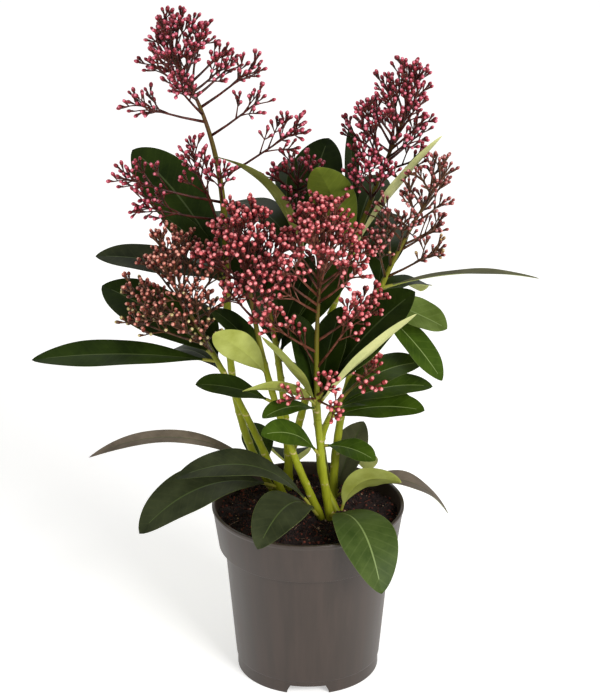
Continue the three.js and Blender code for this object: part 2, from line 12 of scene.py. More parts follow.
import bpy
import numpy as np
from mathutils.kdtree import KDTree
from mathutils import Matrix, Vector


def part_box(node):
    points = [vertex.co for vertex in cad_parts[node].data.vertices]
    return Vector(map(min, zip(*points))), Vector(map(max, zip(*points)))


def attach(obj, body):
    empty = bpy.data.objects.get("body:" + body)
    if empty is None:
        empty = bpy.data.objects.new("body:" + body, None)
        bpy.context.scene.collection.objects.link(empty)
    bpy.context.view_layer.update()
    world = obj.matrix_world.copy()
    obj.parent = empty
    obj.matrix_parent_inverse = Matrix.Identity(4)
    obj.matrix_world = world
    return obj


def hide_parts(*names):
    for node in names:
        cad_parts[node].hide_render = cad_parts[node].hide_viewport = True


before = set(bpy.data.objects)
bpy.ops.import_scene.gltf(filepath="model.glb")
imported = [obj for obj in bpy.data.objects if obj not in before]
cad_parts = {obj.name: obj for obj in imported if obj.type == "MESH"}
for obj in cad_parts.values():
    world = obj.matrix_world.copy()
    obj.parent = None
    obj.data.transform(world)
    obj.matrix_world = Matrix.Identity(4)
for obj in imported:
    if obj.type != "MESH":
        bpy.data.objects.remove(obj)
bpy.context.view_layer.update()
print("nodes in the frame:", len(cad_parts))

# %% [markdown]
# ## Sizes
#
# A plant is measured in millimetres and Blender works in metres, so every shape is worked out in
# millimetres and scaled once, when it becomes a mesh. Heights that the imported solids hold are
# read from the frame, so that pot, soil and plant always agree.

# %% Sizes read from the frame
MM = 0.001
UP = np.array([0.0, 0.0, 1.0])
NUDGE = np.array([1e-4, 0.0, 0.0])
GOLDEN_ANGLE = 137.5

RIM_RADIUS, _, POT_HEIGHT = np.array(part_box("pot")[1]) / MM
SOIL_BOTTOM, SOIL_TOP = (corner.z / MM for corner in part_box("root_ball"))
print(f"pot {POT_HEIGHT:.1f} high, rim radius {RIM_RADIUS:.1f}, soil at {SOIL_TOP:.1f} mm")

# %% [markdown]
# ## The plant's plan
#
# A shoot is a smooth lean from its foot in the soil, through the whorl where its leaves sit, to
# the tip of its flower head. Three points fix it, and the tall shoot also sways to one side and
# back. A leaf is told by where it stands on the shoot and where its tip ends up, because the tip
# is what the eye reads. A row may end with the finish of its upper face, which is else "deep".

# %% Shoots and leaves
SHOOTS = {
    "front": [(15, -5), (6, -12, 200), (10, -20, 314)],
    "mid_left": [(9, -4), (-28, -15, 227), (-41, -19, 314)],
    "left": [(-16, 25), (-60, 0, 225), (-90, -9, 286)],
    "tall": [(-22, 30), (-54, 25, 277), (-86, 12, 431)],
    "middle": [(-13, 42), (-21, 12, 228), (-29, 2, 278)],
    "upper": [(-16, 50), (32, 40, 296), (65, 29, 392)],
    "low_right": [(20, 4), (18, 5, 189), (40, -3, 218)],
    "right": [(17, 13), (47, 20, 267), (86, 12, 348)],
    "back": [(14, 34), (-5, 43, 290), (-7, 42, 337)],
}
SWAY = {"tall": 11}

# Height of the foot, tip x, y, z, arch against the length, width, roll in degrees, finish.
WHORL_LEAVES = {
    "tall": [
        (277, -118, 80, 345, 0.08, 37, -40),
        (274, -98, 30, 318, 0.06, 21, -30),
        (271, -141, 30, 288, 0.06, 27, -20, "dull"),
        (275, -62, 105, 292, 0.12, 30, 0),
        (268, -90, 94, 254, 0.14, 30, 0),
    ],
    "left": [
        (225, -183, 0, 226, 0.04, 25, -22),
        (228, -138, 40, 263, 0.05, 38, -25),
        (220, -95, 70, 240, 0.14, 30, 0),
        (216, -98, 58, 206, 0.12, 28, 0),
    ],
    "mid_left": [
        (222, -61, -45, 264, 0.045, 22, 62, "fresh"),
        (222, -64, 2, 262, 0.1, 26, 0),
    ],
    "front": [
        (198, 69, -50, 280, 0.03, 15, -20, "pale"),
        (200, -30, -45, 262, 0.02, 24, -5, "fresh"),
        (198, -43, -42, 222, 0.12, 17, 40, "fresh"),
        (195, -30, -38, 201, 0.12, 18, -10, "fresh"),
        (192, 22, 6, 262, 0.05, 28, 0),
        (191, -10, 5, 258, 0.06, 26, 0),
        (201, 70, -3, 276, 0.06, 46, 20),
    ],
    "low_right": [
        (187, 77, 15, 218, 0.13, 32, 10, "fresh"),
        (186, 70, 18, 190, 0.1, 28, 5, "fresh"),
        (181, 77, -15, 196, 0.08, 28, 15, "fresh"),
        (187, 83, 4, 205, 0.11, 28, 10, "fresh"),
    ],
    "right": [
        (269, 153, 20, 276, 0.07, 20, -12, "sage"),
        (267, 82, 50, 259, 0.1, 24, 0),
        (262, 92, 8, 245, 0.03, 30, 15, "leafy"),
        (258, 89, 0, 211, 0.05, 24, 15, "fresh"),
        (264, 58, 98, 284, 0.14, 30, 0),
        (258, 78, 96, 236, 0.12, 28, 0),
    ],
    "upper": [
        # This leaf shows its underside in shade, and that shade is painted into the darker olive
        # finish.
        (290, 5, 0, 361, 0.03, 29, 35, "olive"),
        (289, 86, 5, 381, 0.03, 15, -10, "pale"),
        (291, 28, 66, 368, 0.02, 10, 0),
        (290, 48, 95, 322, 0.1, 30, 0),
        (288, 62, 75, 300, 0.1, 28, 0),
        (287, 6, 110, 262, 0.12, 28, 0),
    ],
    "back": [
        (281, -62, 8, 366, 0.14, 20, 10, "dull"),
        (285, 14, 90, 350, 0.1, 36, 10),
        (284, -8, 130, 322, 0.14, 32, 0),
        (282, 10, 120, 300, 0.14, 30, 0),
        (280, -52, 112, 296, 0.14, 30, 0),
    ],
    "middle": [
        (228, -48, 84, 280, 0.1, 32, 0),
        (224, -28, 75, 266, 0.1, 26, 0),
        (222, 30, 30, 284, 0.08, 30, 30),
        (224, -38, 46, 292, 0.04, 28, -20),
        (229, 4, 24, 291, 0.03, 28, 10),
        # This leaf's back is seen in shade, and that shade is painted as grey on both faces.
        (221, 0, 18, 200, 0.12, 24, -25, "grey"),
    ],
}

# The shoot that bears the leaf, then the same sizes.
LOW_LEAVES = {
    "over_rim_front_right": ("front", 115, 48, -80, 94, 0.3, 40, 0, "mid"),
    "over_rim_front": ("mid_left", 115, -33, -73, 123, 0.26, 33, -12, "dull"),
    "arched_left": ("mid_left", 120, -88, -25, 151, 0.21, 31, -10, "dull"),
    "over_rim_left": ("left", 123, -113, -25, 110, 0.18, 40, -12, "dull"),
    "long_left": ("left", 132, -149, 20, 145, 0.175, 16, -10, "bronze"),
    "curled_right": ("low_right", 113, 63, -2, 137, 0.27, 25, -55, "fresh"),
    "over_rim_right": ("right", 119, 97, 28, 98, 0.24, 26, 0, "bronze"),
    "upright_right": ("right", 119, 38, 38, 164, 0.06, 27, 0, "grey"),
    "small_right": ("low_right", 160, 45, -8, 156, 0.1, 20, 15, "fresh"),
    "small_left": ("front", 163, -31, -36, 188, 0.14, 20, -40, "fresh"),
    "level_left": ("mid_left", 202, -74, -22, 218, 0.07, 24, -15),
    "upright_back": ("tall", 128, -38, 62, 152, 0.1, 22, 0),
    "over_rim_back_right": ("back", 121, 42, 84, 104, 0.28, 30, 0),
    "over_rim_back": ("upper", 121, -12, 94, 104, 0.28, 30, 0),
    "over_rim_back_left": ("tall", 121, -58, 82, 106, 0.25, 30, 0, "dull"),
}
print("leaves:", sum(len(rows) for rows in WHORL_LEAVES.values()) + len(LOW_LEAVES))

# %% [markdown]
# ## Helpers for vectors and chance
#
# Growth repeats one step with small differences, so it needs numbers that look random and are
# the same in each run. The fraction of a large sine gives them from a seed and a count. All
# helpers work on whole arrays, whose last axis is always x, y, z.

# %% Vector helpers


def chance(seed, count):
    """A number from 0 to 1: the fraction that is left of a large multiple of a sine."""
    value = np.sin(seed * 12.9898 + np.asarray(count) * 78.233) * 43758.5453
    return value - np.floor(value)


def points(x, y, z):
    """Points with these coordinates, each a number or an array."""
    return np.stack(np.broadcast_arrays(x, y, z), axis=-1)


def circle(count):
    """Angles evenly round a circle."""
    return np.arange(count) * math.tau / count


def dot(a, b):
    """The dot product over the last axis, kept as an axis of one."""
    return np.sum(a * b, axis=-1, keepdims=True)


def unit(vectors):
    """Each vector divided by its own length."""
    return vectors / np.linalg.norm(vectors, axis=-1, keepdims=True)


def turned(vectors, axes, degrees):
    """Vectors turned about unit axes: v cos a + (axis x v) sin a + axis (axis . v)(1 - cos a)."""
    angle = np.radians(degrees)
    crossed = np.cross(axes, vectors)
    kept = axes * dot(axes, vectors) * (1 - np.cos(angle))
    return vectors * np.cos(angle) + crossed * np.sin(angle) + kept


def smooth_step(low, high, value):
    """0 below low, 1 above high, and 3t^2 - 2t^3 between them."""
    share = np.clip((value - low) / (high - low), 0, 1)
    return share * share * (3 - 2 * share)


def parabola(start, middle, end, share):
    """The curve that leaves start and reaches end as if each were aimed at middle."""
    return start * (1 - share) ** 2 + end * share**2 + 2 * share * (1 - share) * middle


def on_shoot(name, z):
    """The shoot's middle line at heights z: the parabola in z through foot, whorl and tip.

    A sway adds to x the cubic that is zero at all three and 1 halfway from whorl to tip.
    """
    foot, whorl, tip = SHOOTS[name]
    low, mid, high = SOIL_TOP, whorl[2], tip[2]
    z = np.asarray(z, float)
    a = (z - mid) * (z - high) / ((low - mid) * (low - high))
    b = (z - low) * (z - high) / ((mid - low) * (mid - high))
    c = (z - low) * (z - mid) / ((high - low) * (high - mid))
    half = (mid + high) / 2
    cubic = (z - low) * (z - mid) * (z - high) / ((half - low) * (half - mid) * (half - high))
    x, y = (a * foot[i] + b * whorl[i] + c * tip[i] for i in (0, 1))
    return points(x + SWAY.get(name, 0) * cubic, y, z)


print("golden angle steps:", [round(GOLDEN_ANGLE * i % 360, 1) for i in range(4)])

# %% [markdown]
# ## One way to make every surface
#
# Stems, leaves, buds, pot and soil are all one kind of surface: rings of points along a line,
# closed by a point at each end. Skin and screw modifiers could make them one by one. A grid of
# rings as one array is quicker for thousands, and always closed with its faces outward.

# %% Rings become a mesh


def placed(name, data, place=(0, 0, 0), turn=(0, 0, 0)):
    """A new object of the scene with this mesh, lamp or camera."""
    thing = bpy.data.objects.new(name, data)
    thing.location = place
    thing.rotation_euler = turn
    bpy.context.scene.collection.objects.link(thing)
    return thing


def make_piece(name, rings, start, end, finishes, bands=0, marks=None, node=None, slot=None):
    """One mesh object of closed surfaces that rides on the plant.

    rings is (surfaces, rows, columns, 3) in mm, each ring anticlockwise as seen from the end;
    start and end are the (surfaces, 3) points that close them. bands gives each face's finish,
    as (surfaces, rows + 1, columns). marks are vectors at the rings' points for a material.
    """
    surfaces, rows, columns = rings.shape[:3]

    def with_ends(first, grid, last):
        """The rings' values between those of the closing points."""
        first, last = (np.broadcast_to(ends, (surfaces, 3))[:, None] for ends in (first, last))
        values = np.concatenate([first, grid.reshape(surfaces, -1, 3), last], axis=1)
        return values.astype(np.float32).ravel()

    ring = np.arange(columns)
    after = (ring + 1) % columns
    row = 1 + columns * np.arange(rows - 1)[:, None]
    last = 1 + columns * (rows - 1)
    quads = [row + ring, row + after, row + columns + after, row + columns + ring]
    low = np.stack([0 * ring, 1 + after, 1 + ring], axis=-1)
    high = np.stack([0 * ring + last + columns, last + ring, last + after], axis=-1)
    shift = (rows * columns + 2) * np.arange(surfaces)[:, None, None, None]
    quads = np.stack(quads, axis=-1) + shift
    caps = np.stack([low, high]) + shift
    starts = [np.arange(0, quads.size, 4), quads.size + np.arange(0, caps.size, 3)]
    bands = np.broadcast_to(bands, (surfaces, rows + 1, columns))
    slots = np.concatenate([bands[:, 1:-1].ravel(), bands[:, [0, -1]].ravel()])
    used = np.unique(slots)

    mesh = bpy.data.meshes.new(name)
    mesh.vertices.add(surfaces * (rows * columns + 2))
    mesh.vertices.foreach_set("co", with_ends(start * MM, rings * MM, end * MM))
    mesh.loops.add(quads.size + caps.size)
    mesh.loops.foreach_set("vertex_index", np.concatenate([quads.ravel(), caps.ravel()]))
    mesh.polygons.add(len(slots))
    mesh.polygons.foreach_set("loop_start", np.concatenate(starts))
    mesh.polygons.foreach_set("material_index", np.searchsorted(used, slots))
    for index in used:
        mesh.materials.append(finishes[index])
    if marks is not None:
        layer = mesh.attributes.new("marks", "FLOAT_VECTOR", "POINT")
        ends = marks[:, 0].mean(axis=1), marks[:, -1].mean(axis=1)
        layer.data.foreach_set("vector", with_ends(ends[0], marks, ends[1]))
    mesh.update(calc_edges=True)
    mesh.validate()
    mesh.shade_smooth()

    piece = placed(name, mesh)
    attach(piece, "root")
    if node:
        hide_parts(node)
    return piece


def tube_rings(paths, radii, sides):
    """Round rings across (surfaces, rows, 3) paths: centre + r (cos a side + sin a second).

    side is level, across the whole path, and squared to the path's direction at each ring.
    """
    forward = unit(np.gradient(paths, axis=1))
    level = np.cross(unit(paths[:, -1:] - paths[:, :1]), UP) + NUDGE
    side = unit(level - forward * dot(level, forward))[:, :, None]
    second = np.cross(forward[:, :, None], side)
    angle = circle(sides)[:, None]
    reach = np.broadcast_to(radii, paths.shape[:2])[:, :, None, None]
    return paths[:, :, None] + (np.cos(angle) * side + np.sin(angle) * second) * reach


def bent(start, end, rise):
    """Four points on a parabola from start to end whose middle is lifted by rise."""
    middle = (start + end) / 2 + 2 * rise * UP
    share = np.linspace(0, 1, 4)[None, :, None]
    return parabola(start[:, None], middle[:, None], end[:, None], share)


# %% [markdown]
# ## Finishes
#
# A finish starts from what the real material is. Colours are hex values, as on a paint chart,
# and one function turns them into Blender's linear light. One more adds a node with its settings
# and links, and the kinds that nearly every finish has get a short function each.

# %% Colour and node helpers


def linear(hex_colour):
    """An sRGB hex colour as linear RGBA: each channel c becomes ((c + 0.055) / 1.055) ^ 2.4."""
    channels = np.array([int(hex_colour[i : i + 2], 16) / 255 for i in (1, 3, 5)])
    curved = np.where(channels > 0.04045, ((channels + 0.055) / 1.055) ** 2.4, channels / 12.92)
    return (*curved.tolist(), 1.0)


def add_node(tree, kind, settings=None, links=None):
    """Adds a node. Settings and links are keyed by socket name or number, or property name."""
    node = tree.nodes.new(f"ShaderNode{kind}")
    for name, value in (settings or {}).items():
        if isinstance(name, int) or name in node.inputs:
            node.inputs[name].default_value = value
        else:
            setattr(node, name, value)
    for name, output in (links or {}).items():
        tree.links.new(output, node.inputs[name])
    return node


def new_finish(name, **settings):
    """A material whose Principled shader has these constants, and its node tree."""
    material = bpy.data.materials.new(name)
    material.use_nodes = True
    shader = material.node_tree.nodes["Principled BSDF"]
    for key, value in settings.items():
        shader.inputs[key.replace("_", " ")].default_value = value
    return material, material.node_tree


def plug(tree, **outputs):
    """Links outputs to the sockets of the Principled shader that have these names."""
    shader = tree.nodes["Principled BSDF"]
    for key, output in outputs.items():
        tree.links.new(output, shader.inputs[key.replace("_", " ")])


def marks_of(tree):
    """The vector that make_piece stored for each point."""
    return add_node(tree, "Attribute", {"attribute_name": "marks"}).outputs["Vector"]


def noise(tree, scale, detail, roughness=0.5, stretch=None):
    """Noise over an object's own space, with scale features a metre, or stretch along X, Y, Z."""
    place = add_node(tree, "TexCoord").outputs["Object"]
    if stretch:
        place = add_node(tree, "Mapping", {"Scale": stretch}, {"Vector": place}).outputs[0]
    settings = {"Scale": scale, "Detail": detail, "Roughness": roughness}
    return add_node(tree, "TexNoise", settings, {"Vector": place}).outputs[0]


def spread(tree, value, low, high, least=0.0, most=1.0):
    """A value that runs from low to high, made to run from least to most."""
    settings = {"From Min": low, "From Max": high, "To Min": least, "To Max": most}
    return add_node(tree, "MapRange", settings, {"Value": value}).outputs[0]


def blend(tree, factor, low, high):
    """A mix of two colours; low and high are hex colours or sockets."""
    node = add_node(tree, "Mix", {"data_type": "RGBA"}, {0: factor})
    for index, colour in ((6, low), (7, high)):
        if isinstance(colour, str):
            node.inputs[index].default_value = linear(colour)
        else:
            tree.links.new(colour, node.inputs[index])
    return node.outputs[2]


def relief(tree, height, strength, depth, invert=False, under=None):
    """A bump that is depth millimetres high, or deep if inverted, over another one if given."""
    settings = {"Strength": strength, "Distance": depth * MM, "invert": invert}
    links = {"Height": height} | ({"Normal": under} if under else {})
    return add_node(tree, "Bump", settings, links).outputs[0]


# %% [markdown]
# ### Pot: injection-moulded polypropylene
#
# A nursery pot is moulded from recycled polypropylene: a warm grey-brown with a satin skin,
# faint flow streaks from the gate in the base up to the rim, and a very fine orange peel.
# Stretching a noise along Z gives the streaks without any image.

# %% Polypropylene
STREAKS_PER_METRE = 1 / (6 * MM)
STREAK_REPEATS_UP = 5
PEEL_PER_METRE = 1 / (0.9 * MM)


def moulded_polypropylene():
    """Flow streaks in the colour and gloss, and orange peel in the relief."""
    finish, tree = new_finish("moulded polypropylene, recycled taupe", IOR=1.49)
    flow = (STREAKS_PER_METRE, STREAKS_PER_METRE, STREAK_REPEATS_UP)
    streaks = noise(tree, 1.0, 3.0, 0.6, flow)
    plug(
        tree,
        Base_Color=blend(tree, spread(tree, streaks, 0.36, 0.66), "#30261f", "#392d26"),
        Roughness=spread(tree, streaks, 0, 1, 0.36, 0.52),
        Normal=relief(tree, noise(tree, PEEL_PER_METRE, 2.0), 0.12, 0.05),
    )
    return finish


POT_PLASTIC = moulded_polypropylene()
print("finish:", POT_PLASTIC.name)

# %% [markdown]
# ## The pot
#
# The pot is one revolved profile: a centre pad and a foot ring that stand on the table, a
# tapering wall, and a wider collar by which stacked pots hang in each other. A Screw modifier
# could revolve it, but in a grid of height and angle the foot ring can also be notched, by
# lifting its points to the underside between columns at the notches' corners.

# %% The pot's sizes
COLLAR_RADIUS, COLLAR_BOTTOM = 60.4, 91.5
WALL_TOP_RADIUS, WALL_FOOT_RADIUS, WALL = 56.4, 49.0, 0.9
FOOT_RADIUS, FOOT_HEIGHT, FOOT_BAND, FOOT_WALL = 48.2, 6.2, 9.0, 1.4
PAD_RADIUS = 20.0
NOTCHES, NOTCH_WIDTH, NOTCH_SLANT = 3, 24.0, 0.06
CORNER_GAP = 0.004
DRAINS, DRAIN_RADIUS, DRAIN_CIRCLE = 6, 3.0, 33.0
POT_COLUMNS = 144
MOULD_RADIUS = 0.7
INNERMOST = 0.5
RIM_LIP, LIP_HEIGHT = 2.2, 3.2
SHARP_EDGE = math.radians(38)


def rounded(corners, radius, steps=4):
    """A profile with each inner corner replaced by a short parabola, radius from the corner."""
    corners = np.array(corners, float)
    corner = corners[1:-1]
    ends = []
    for way in (corners[:-2] - corner, corners[2:] - corner):
        far = np.linalg.norm(way, axis=1, keepdims=True)
        ends.append((corner + way / far * np.minimum(radius, 0.45 * far))[:, None])
    curve = parabola(ends[0], corner[:, None], ends[1], np.linspace(0, 1, steps)[None, :, None])
    return np.concatenate([corners[:1], curve.reshape(-1, 2), corners[-1:]])


def notched_angles():
    """Even angles, with two close ones at each notch's corner, and which are in a notch."""
    even = circle(POT_COLUMNS)
    middles = circle(NOTCHES) - math.pi / 2
    half = math.asin(NOTCH_WIDTH / 2 / FOOT_RADIUS)
    sides = np.array([-half - CORNER_GAP, -half, half, half + CORNER_GAP])
    corners = (middles[:, None] + sides).ravel() % math.tau
    apart = np.abs(even[:, None] - corners).min(axis=1)
    angles = np.sort(np.concatenate([even[apart > 0.01], corners]))
    offset = (angles[:, None] - middles + math.pi) % math.tau - math.pi
    return angles, (np.abs(offset) < half + 0.001).any(axis=1)


def make_pot():
    """Rings of (radius, height) round Z; within a notch the foot ring's heights are pressed up.

    Beside a notch the ring's angles step back towards the table, so that its sides slant.
    """
    inner_step = COLLAR_BOTTOM + WALL
    inside_foot = FOOT_RADIUS - FOOT_WALL
    profile = rounded(
        [
            (INNERMOST, 0), (PAD_RADIUS, 0), (PAD_RADIUS + 1, FOOT_HEIGHT),
            (inside_foot, FOOT_HEIGHT), (inside_foot, 0), (FOOT_RADIUS, 0),
            (FOOT_RADIUS, FOOT_BAND), (WALL_FOOT_RADIUS, FOOT_BAND + 0.6),
            (WALL_TOP_RADIUS, COLLAR_BOTTOM), (COLLAR_RADIUS, COLLAR_BOTTOM),
            (RIM_RADIUS - 0.7, POT_HEIGHT - LIP_HEIGHT), (RIM_RADIUS, POT_HEIGHT - RIM_LIP),
            (RIM_RADIUS, POT_HEIGHT), (RIM_RADIUS - RIM_LIP, POT_HEIGHT),
            (RIM_RADIUS - 2.0 - WALL, POT_HEIGHT - 3.0), (COLLAR_RADIUS - WALL, inner_step),
            (WALL_TOP_RADIUS - WALL, inner_step - 0.4),
            (FOOT_RADIUS - WALL, FOOT_HEIGHT + WALL + 0.6), (INNERMOST, FOOT_HEIGHT + WALL),
        ],
        MOULD_RADIUS,
    )
    angles, in_notch = notched_angles()
    radius, height = profile[:, :1], profile[:, 1:]
    in_foot = (radius > inside_foot - 1.5) & (height < FOOT_HEIGHT)
    pressed = FOOT_HEIGHT - 0.04 * (FOOT_HEIGHT - height)
    z = np.where(in_foot & in_notch, pressed, height)
    beside = np.roll(in_notch, -1).astype(int) - np.roll(in_notch, 1).astype(int)
    slant = NOTCH_SLANT * np.clip(1 - z / FOOT_HEIGHT, 0, 1) * in_foot * ~in_notch
    turns = angles - beside * slant
    rings = points(radius * np.cos(turns), radius * np.sin(turns), z)[None]
    floor = UP * (FOOT_HEIGHT + WALL)
    return make_piece("nursery_pot", rings, 0 * UP, floor, [POT_PLASTIC], node="pot", slot="pot")


def cut_drains(pot):
    """Takes six round holes out of the underside with one Boolean, which is then applied."""
    turn = circle(DRAINS)[:, None] - math.pi / 2
    heights = np.array([FOOT_HEIGHT - 2, FOOT_HEIGHT + WALL + 2])
    paths = points(DRAIN_CIRCLE * np.cos(turn), DRAIN_CIRCLE * np.sin(turn), heights)
    rings = tube_rings(paths, DRAIN_RADIUS, 20)
    cutter = make_piece("drain_cutter", rings, paths[:, 0], paths[:, 1], [POT_PLASTIC])
    cut = pot.modifiers.new("drains", "BOOLEAN")
    cut.operation = "DIFFERENCE"
    cut.solver = "EXACT"
    cut.object = cutter
    depsgraph = bpy.context.evaluated_depsgraph_get()
    pot.data = bpy.data.meshes.new_from_object(pot.evaluated_get(depsgraph))
    pot.modifiers.clear()
    bpy.data.objects.remove(cutter)


nursery_pot = make_pot()
cut_drains(nursery_pot)
nursery_pot.data.set_sharp_from_angle(angle=SHARP_EDGE)
print("pot faces:", len(nursery_pot.data.polygons))

# %% [markdown]
# ## Peat
#
# The root ball is milled peat: nearly black when moist, crumbly, with reddish fibres and a few
# pale specks. A displacement texture would give it no real shape. Here a sum of waves raises a
# fine grid, and a few thousand crumbs and fibres lie on it.

# %% Peat finishes


def crumbly(name, dark, light, size):
    """Dull and rough: two browns in a mottle of crumbs of this size, in mm, with its relief."""
    finish, tree = new_finish(name, Roughness=0.95, IOR=1.4)
    mottle = noise(tree, 1 / (size * MM), 4.0, 0.7)
    plug(
        tree,
        Base_Color=blend(tree, spread(tree, mottle, 0.38, 0.64), dark, light),
        Normal=relief(tree, mottle, 0.6, 0.4),
    )
    return finish


PEAT_FINISHES = [
    crumbly("moist milled peat", "#0f0908", "#241410", 1.1),
    crumbly("peat crumb, brown", "#1f110d", "#3a2018", 0.7),
    crumbly("peat fibre, red-brown", "#43190f", "#70382a", 0.7),
    crumbly("wood speck, pale", "#7c5f4e", "#b4977e", 0.7),
]
print("peat finishes:", len(PEAT_FINISHES))

# %% The peat's surface
SOIL_RADIUS = 62.4
WAVES = 40
SHORTEST_WAVE, LONGEST_WAVE = 4, 26
WAVE_REACH, WAVE_GROWTH = 0.032, 0.8
DIP, DIP_WIDTH = 1.2, 8
SOIL_RINGS, SOIL_COLUMNS = 76, 240


def soil_height(x, y):
    """Plane waves of many lengths with seeded directions and phases, and a dip at the pot.

    Each wave's height grows with its length, so that large lumps carry small ones.
    """
    number = np.arange(WAVES)
    length = SHORTEST_WAVE * (LONGEST_WAVE / SHORTEST_WAVE) ** (number / (WAVES - 1))
    turn, phase = (math.tau * chance(seed, number) for seed in (11, 12))
    place = x[..., None] * np.cos(turn) + y[..., None] * np.sin(turn)
    waves = np.sin(place * math.tau / length + phase) * WAVE_REACH * length**WAVE_GROWTH
    dip = DIP * smooth_step(SOIL_RADIUS - DIP_WIDTH, SOIL_RADIUS, np.hypot(x, y))
    return SOIL_TOP - 0.6 + waves.sum(axis=-1) - dip


def make_peat():
    """A revolved block whose top rings take their height from soil_height."""
    side_radii = [0.5, 44, 46.6, 54.6, 58.2]
    side_heights = [SOIL_BOTTOM, SOIL_BOTTOM, SOIL_BOTTOM + 2, 90, 93.6, SOIL_TOP - 5]
    top_radii = np.linspace(SOIL_RADIUS - 0.4, 0.8, SOIL_RINGS)
    radius = np.concatenate([side_radii, [SOIL_RADIUS], top_radii])[:, None]
    angle = circle(SOIL_COLUMNS)
    x, y = radius * np.cos(angle), radius * np.sin(angle)
    z = soil_height(x, y)
    z[: len(side_heights)] = np.array(side_heights)[:, None]
    start, end = UP * SOIL_BOTTOM, UP * soil_height(np.zeros(1), np.zeros(1))
    rings = points(x, y, z)[None]
    make_piece("peat", rings, start, end, PEAT_FINISHES, node="root_ball", slot="peat")


make_peat()
print("peat reaches", round(float(soil_height(np.array([30.0]), np.array([0.0]))[0]), 1))

# %% Crumbs and fibres on the peat
# Kinds are the shares up to which a crumb or fibre has the first, second and third finish.
CRUMBS, CRUMB_KINDS = 4200, [0.5, 0.76, 0.975]
SMALLEST_CRUMB, CRUMB_RANGE = 0.3, 0.95
FIBRES, FIBRE_KINDS = 320, [0.2, 0.5, 0.93]
SHORTEST_FIBRE, FIBRE_RANGE = 3.5, 9


def scattered(seed, count, radius):
    """Seeded places spread evenly over a disc: the radius is R times the root of chance."""
    number = np.arange(count)
    away = radius * np.sqrt(chance(seed, number))
    turn = math.tau * chance(seed + 1, number)
    return away * np.cos(turn), away * np.sin(turn)


def make_crumbs():
    """Lumps of three rings of six points; each point's distance from the middle varies."""
    number = np.arange(CRUMBS)
    x, y = scattered(21, CRUMBS, SOIL_RADIUS - 1.2)
    size = SMALLEST_CRUMB + CRUMB_RANGE * chance(23, number) ** 3
    centre = points(x, y, soil_height(x, y) + 0.25 * size)
    angle = circle(6)
    rise = np.array([[-0.6], [0.0], [0.6]])
    wide = np.array([[0.75], [1.0], [0.7]])
    reach = wide * (0.65 + 0.7 * chance(number[:, None, None] + 31, np.arange(18).reshape(3, 6)))
    shape = points(reach * np.cos(angle), reach * np.sin(angle), rise)
    rings = centre[:, None, None] + shape * size[:, None, None, None]
    pole = UP * size[:, None]
    kind = np.searchsorted(CRUMB_KINDS, chance(24, number))[:, None, None]
    low, high = centre - pole, centre + pole
    make_piece("peat_crumbs", rings, low, high, PEAT_FINISHES, kind, slot="peat")


def make_fibres():
    """Thin bent threads of 4 to 13 mm that lie on the crumbs, where both ends are in the pot."""
    x, y = scattered(41, FIBRES, SOIL_RADIUS - 8)
    turn, long, thick, kind = (chance(seed, np.arange(FIBRES)) for seed in (43, 44, 45, 46))
    length = SHORTEST_FIBRE + FIBRE_RANGE * long**2
    far_x = x + length * np.cos(math.tau * turn)
    far_y = y + length * np.sin(math.tau * turn)
    inside = np.hypot(far_x, far_y) < SOIL_RADIUS - 1
    start = points(x, y, soil_height(x, y) + 0.2)[inside]
    end = points(far_x, far_y, soil_height(far_x, far_y) + 0.3)[inside]
    paths = bent(start, end, 0.06 * length[inside][:, None])
    rings = tube_rings(paths, (0.1 + 0.16 * thick**2)[inside][:, None], 4)
    kind = np.searchsorted(FIBRE_KINDS, kind)[inside][:, None, None]
    make_piece("peat_fibres", rings, start, end, PEAT_FINISHES, kind, slot="peat")


make_crumbs()
make_fibres()
print("crumbs and fibres:", CRUMBS, FIBRES)

# %% [markdown]
# ## Stems
#
# Skimmia shoots stay green for years: smooth yellow-green bark, olive higher up and red-brown in
# the flower head. Each fallen leaf leaves a small pale crescent on a slightly swollen node. A
# curve with a bevel would be a plain pipe. In a grid of height and angle the same formula swells
# the nodes and marks the scars for the material.

# %% Young bark
# Shares of the way from the soil to the tip, and the bark's colour there.
BARK_AGES = [
    (0.07, "#8b901c"), (0.3, "#8f961e"), (0.5, "#7c801c"), (0.7, "#63591a"), (0.84, "#4a2c18"),
]


def young_bark():
    """marks.x runs from 0 at the soil through 1 at the whorl to 2 at the tip; marks.y is a scar."""
    finish, tree = new_finish(
        "young skimmia bark", Roughness=0.48, IOR=1.45, Specular_IOR_Level=0.25
    )
    age, scar = add_node(tree, "SeparateXYZ", links={0: marks_of(tree)}).outputs[:2]
    ages = add_node(tree, "ValToRGB", links={0: spread(tree, age, 0, 2)})
    colours = ages.color_ramp.elements
    colours[0].color = linear("#62640c")
    colours[1].color = linear("#46181a")
    for share, colour in BARK_AGES:
        colours.new(share).color = linear(colour)
    grain = noise(tree, 1.0, 3.0, stretch=(900, 900, 90))
    bark = blend(tree, spread(tree, grain, 0.35, 0.7, 0, 0.35), ages.outputs[0], "#5c6412")
    plug(
        tree,
        Base_Color=blend(tree, scar, bark, "#c9b183"),
        Normal=relief(tree, grain, 0.25, 0.1),
    )
    return finish


YOUNG_BARK = young_bark()
print("finish:", YOUNG_BARK.name)

# %% Stems with nodes and scars
STEM_FOOT_RADIUS, STEM_TOP_RADIUS, AXIS_TIP_RADIUS = 2.9, 2.1, 0.8
AXIS_STOUTNESS, STOUT_LENGTH = {"tall": 0.22}, 60
WHORL_BELOW = 12
SCAR_EVERY, SCAR_UNEVENNESS = 11.0, 3
SCAR_HALF_WIDTH, SCAR_HALF_HEIGHT = 1.9, 0.9
SWELLING, SWELLING_LENGTH = 0.16, 2.6
CUSHION, CRESCENT_WIDTH = 0.34, 0.3
STEM_COLUMNS = 24


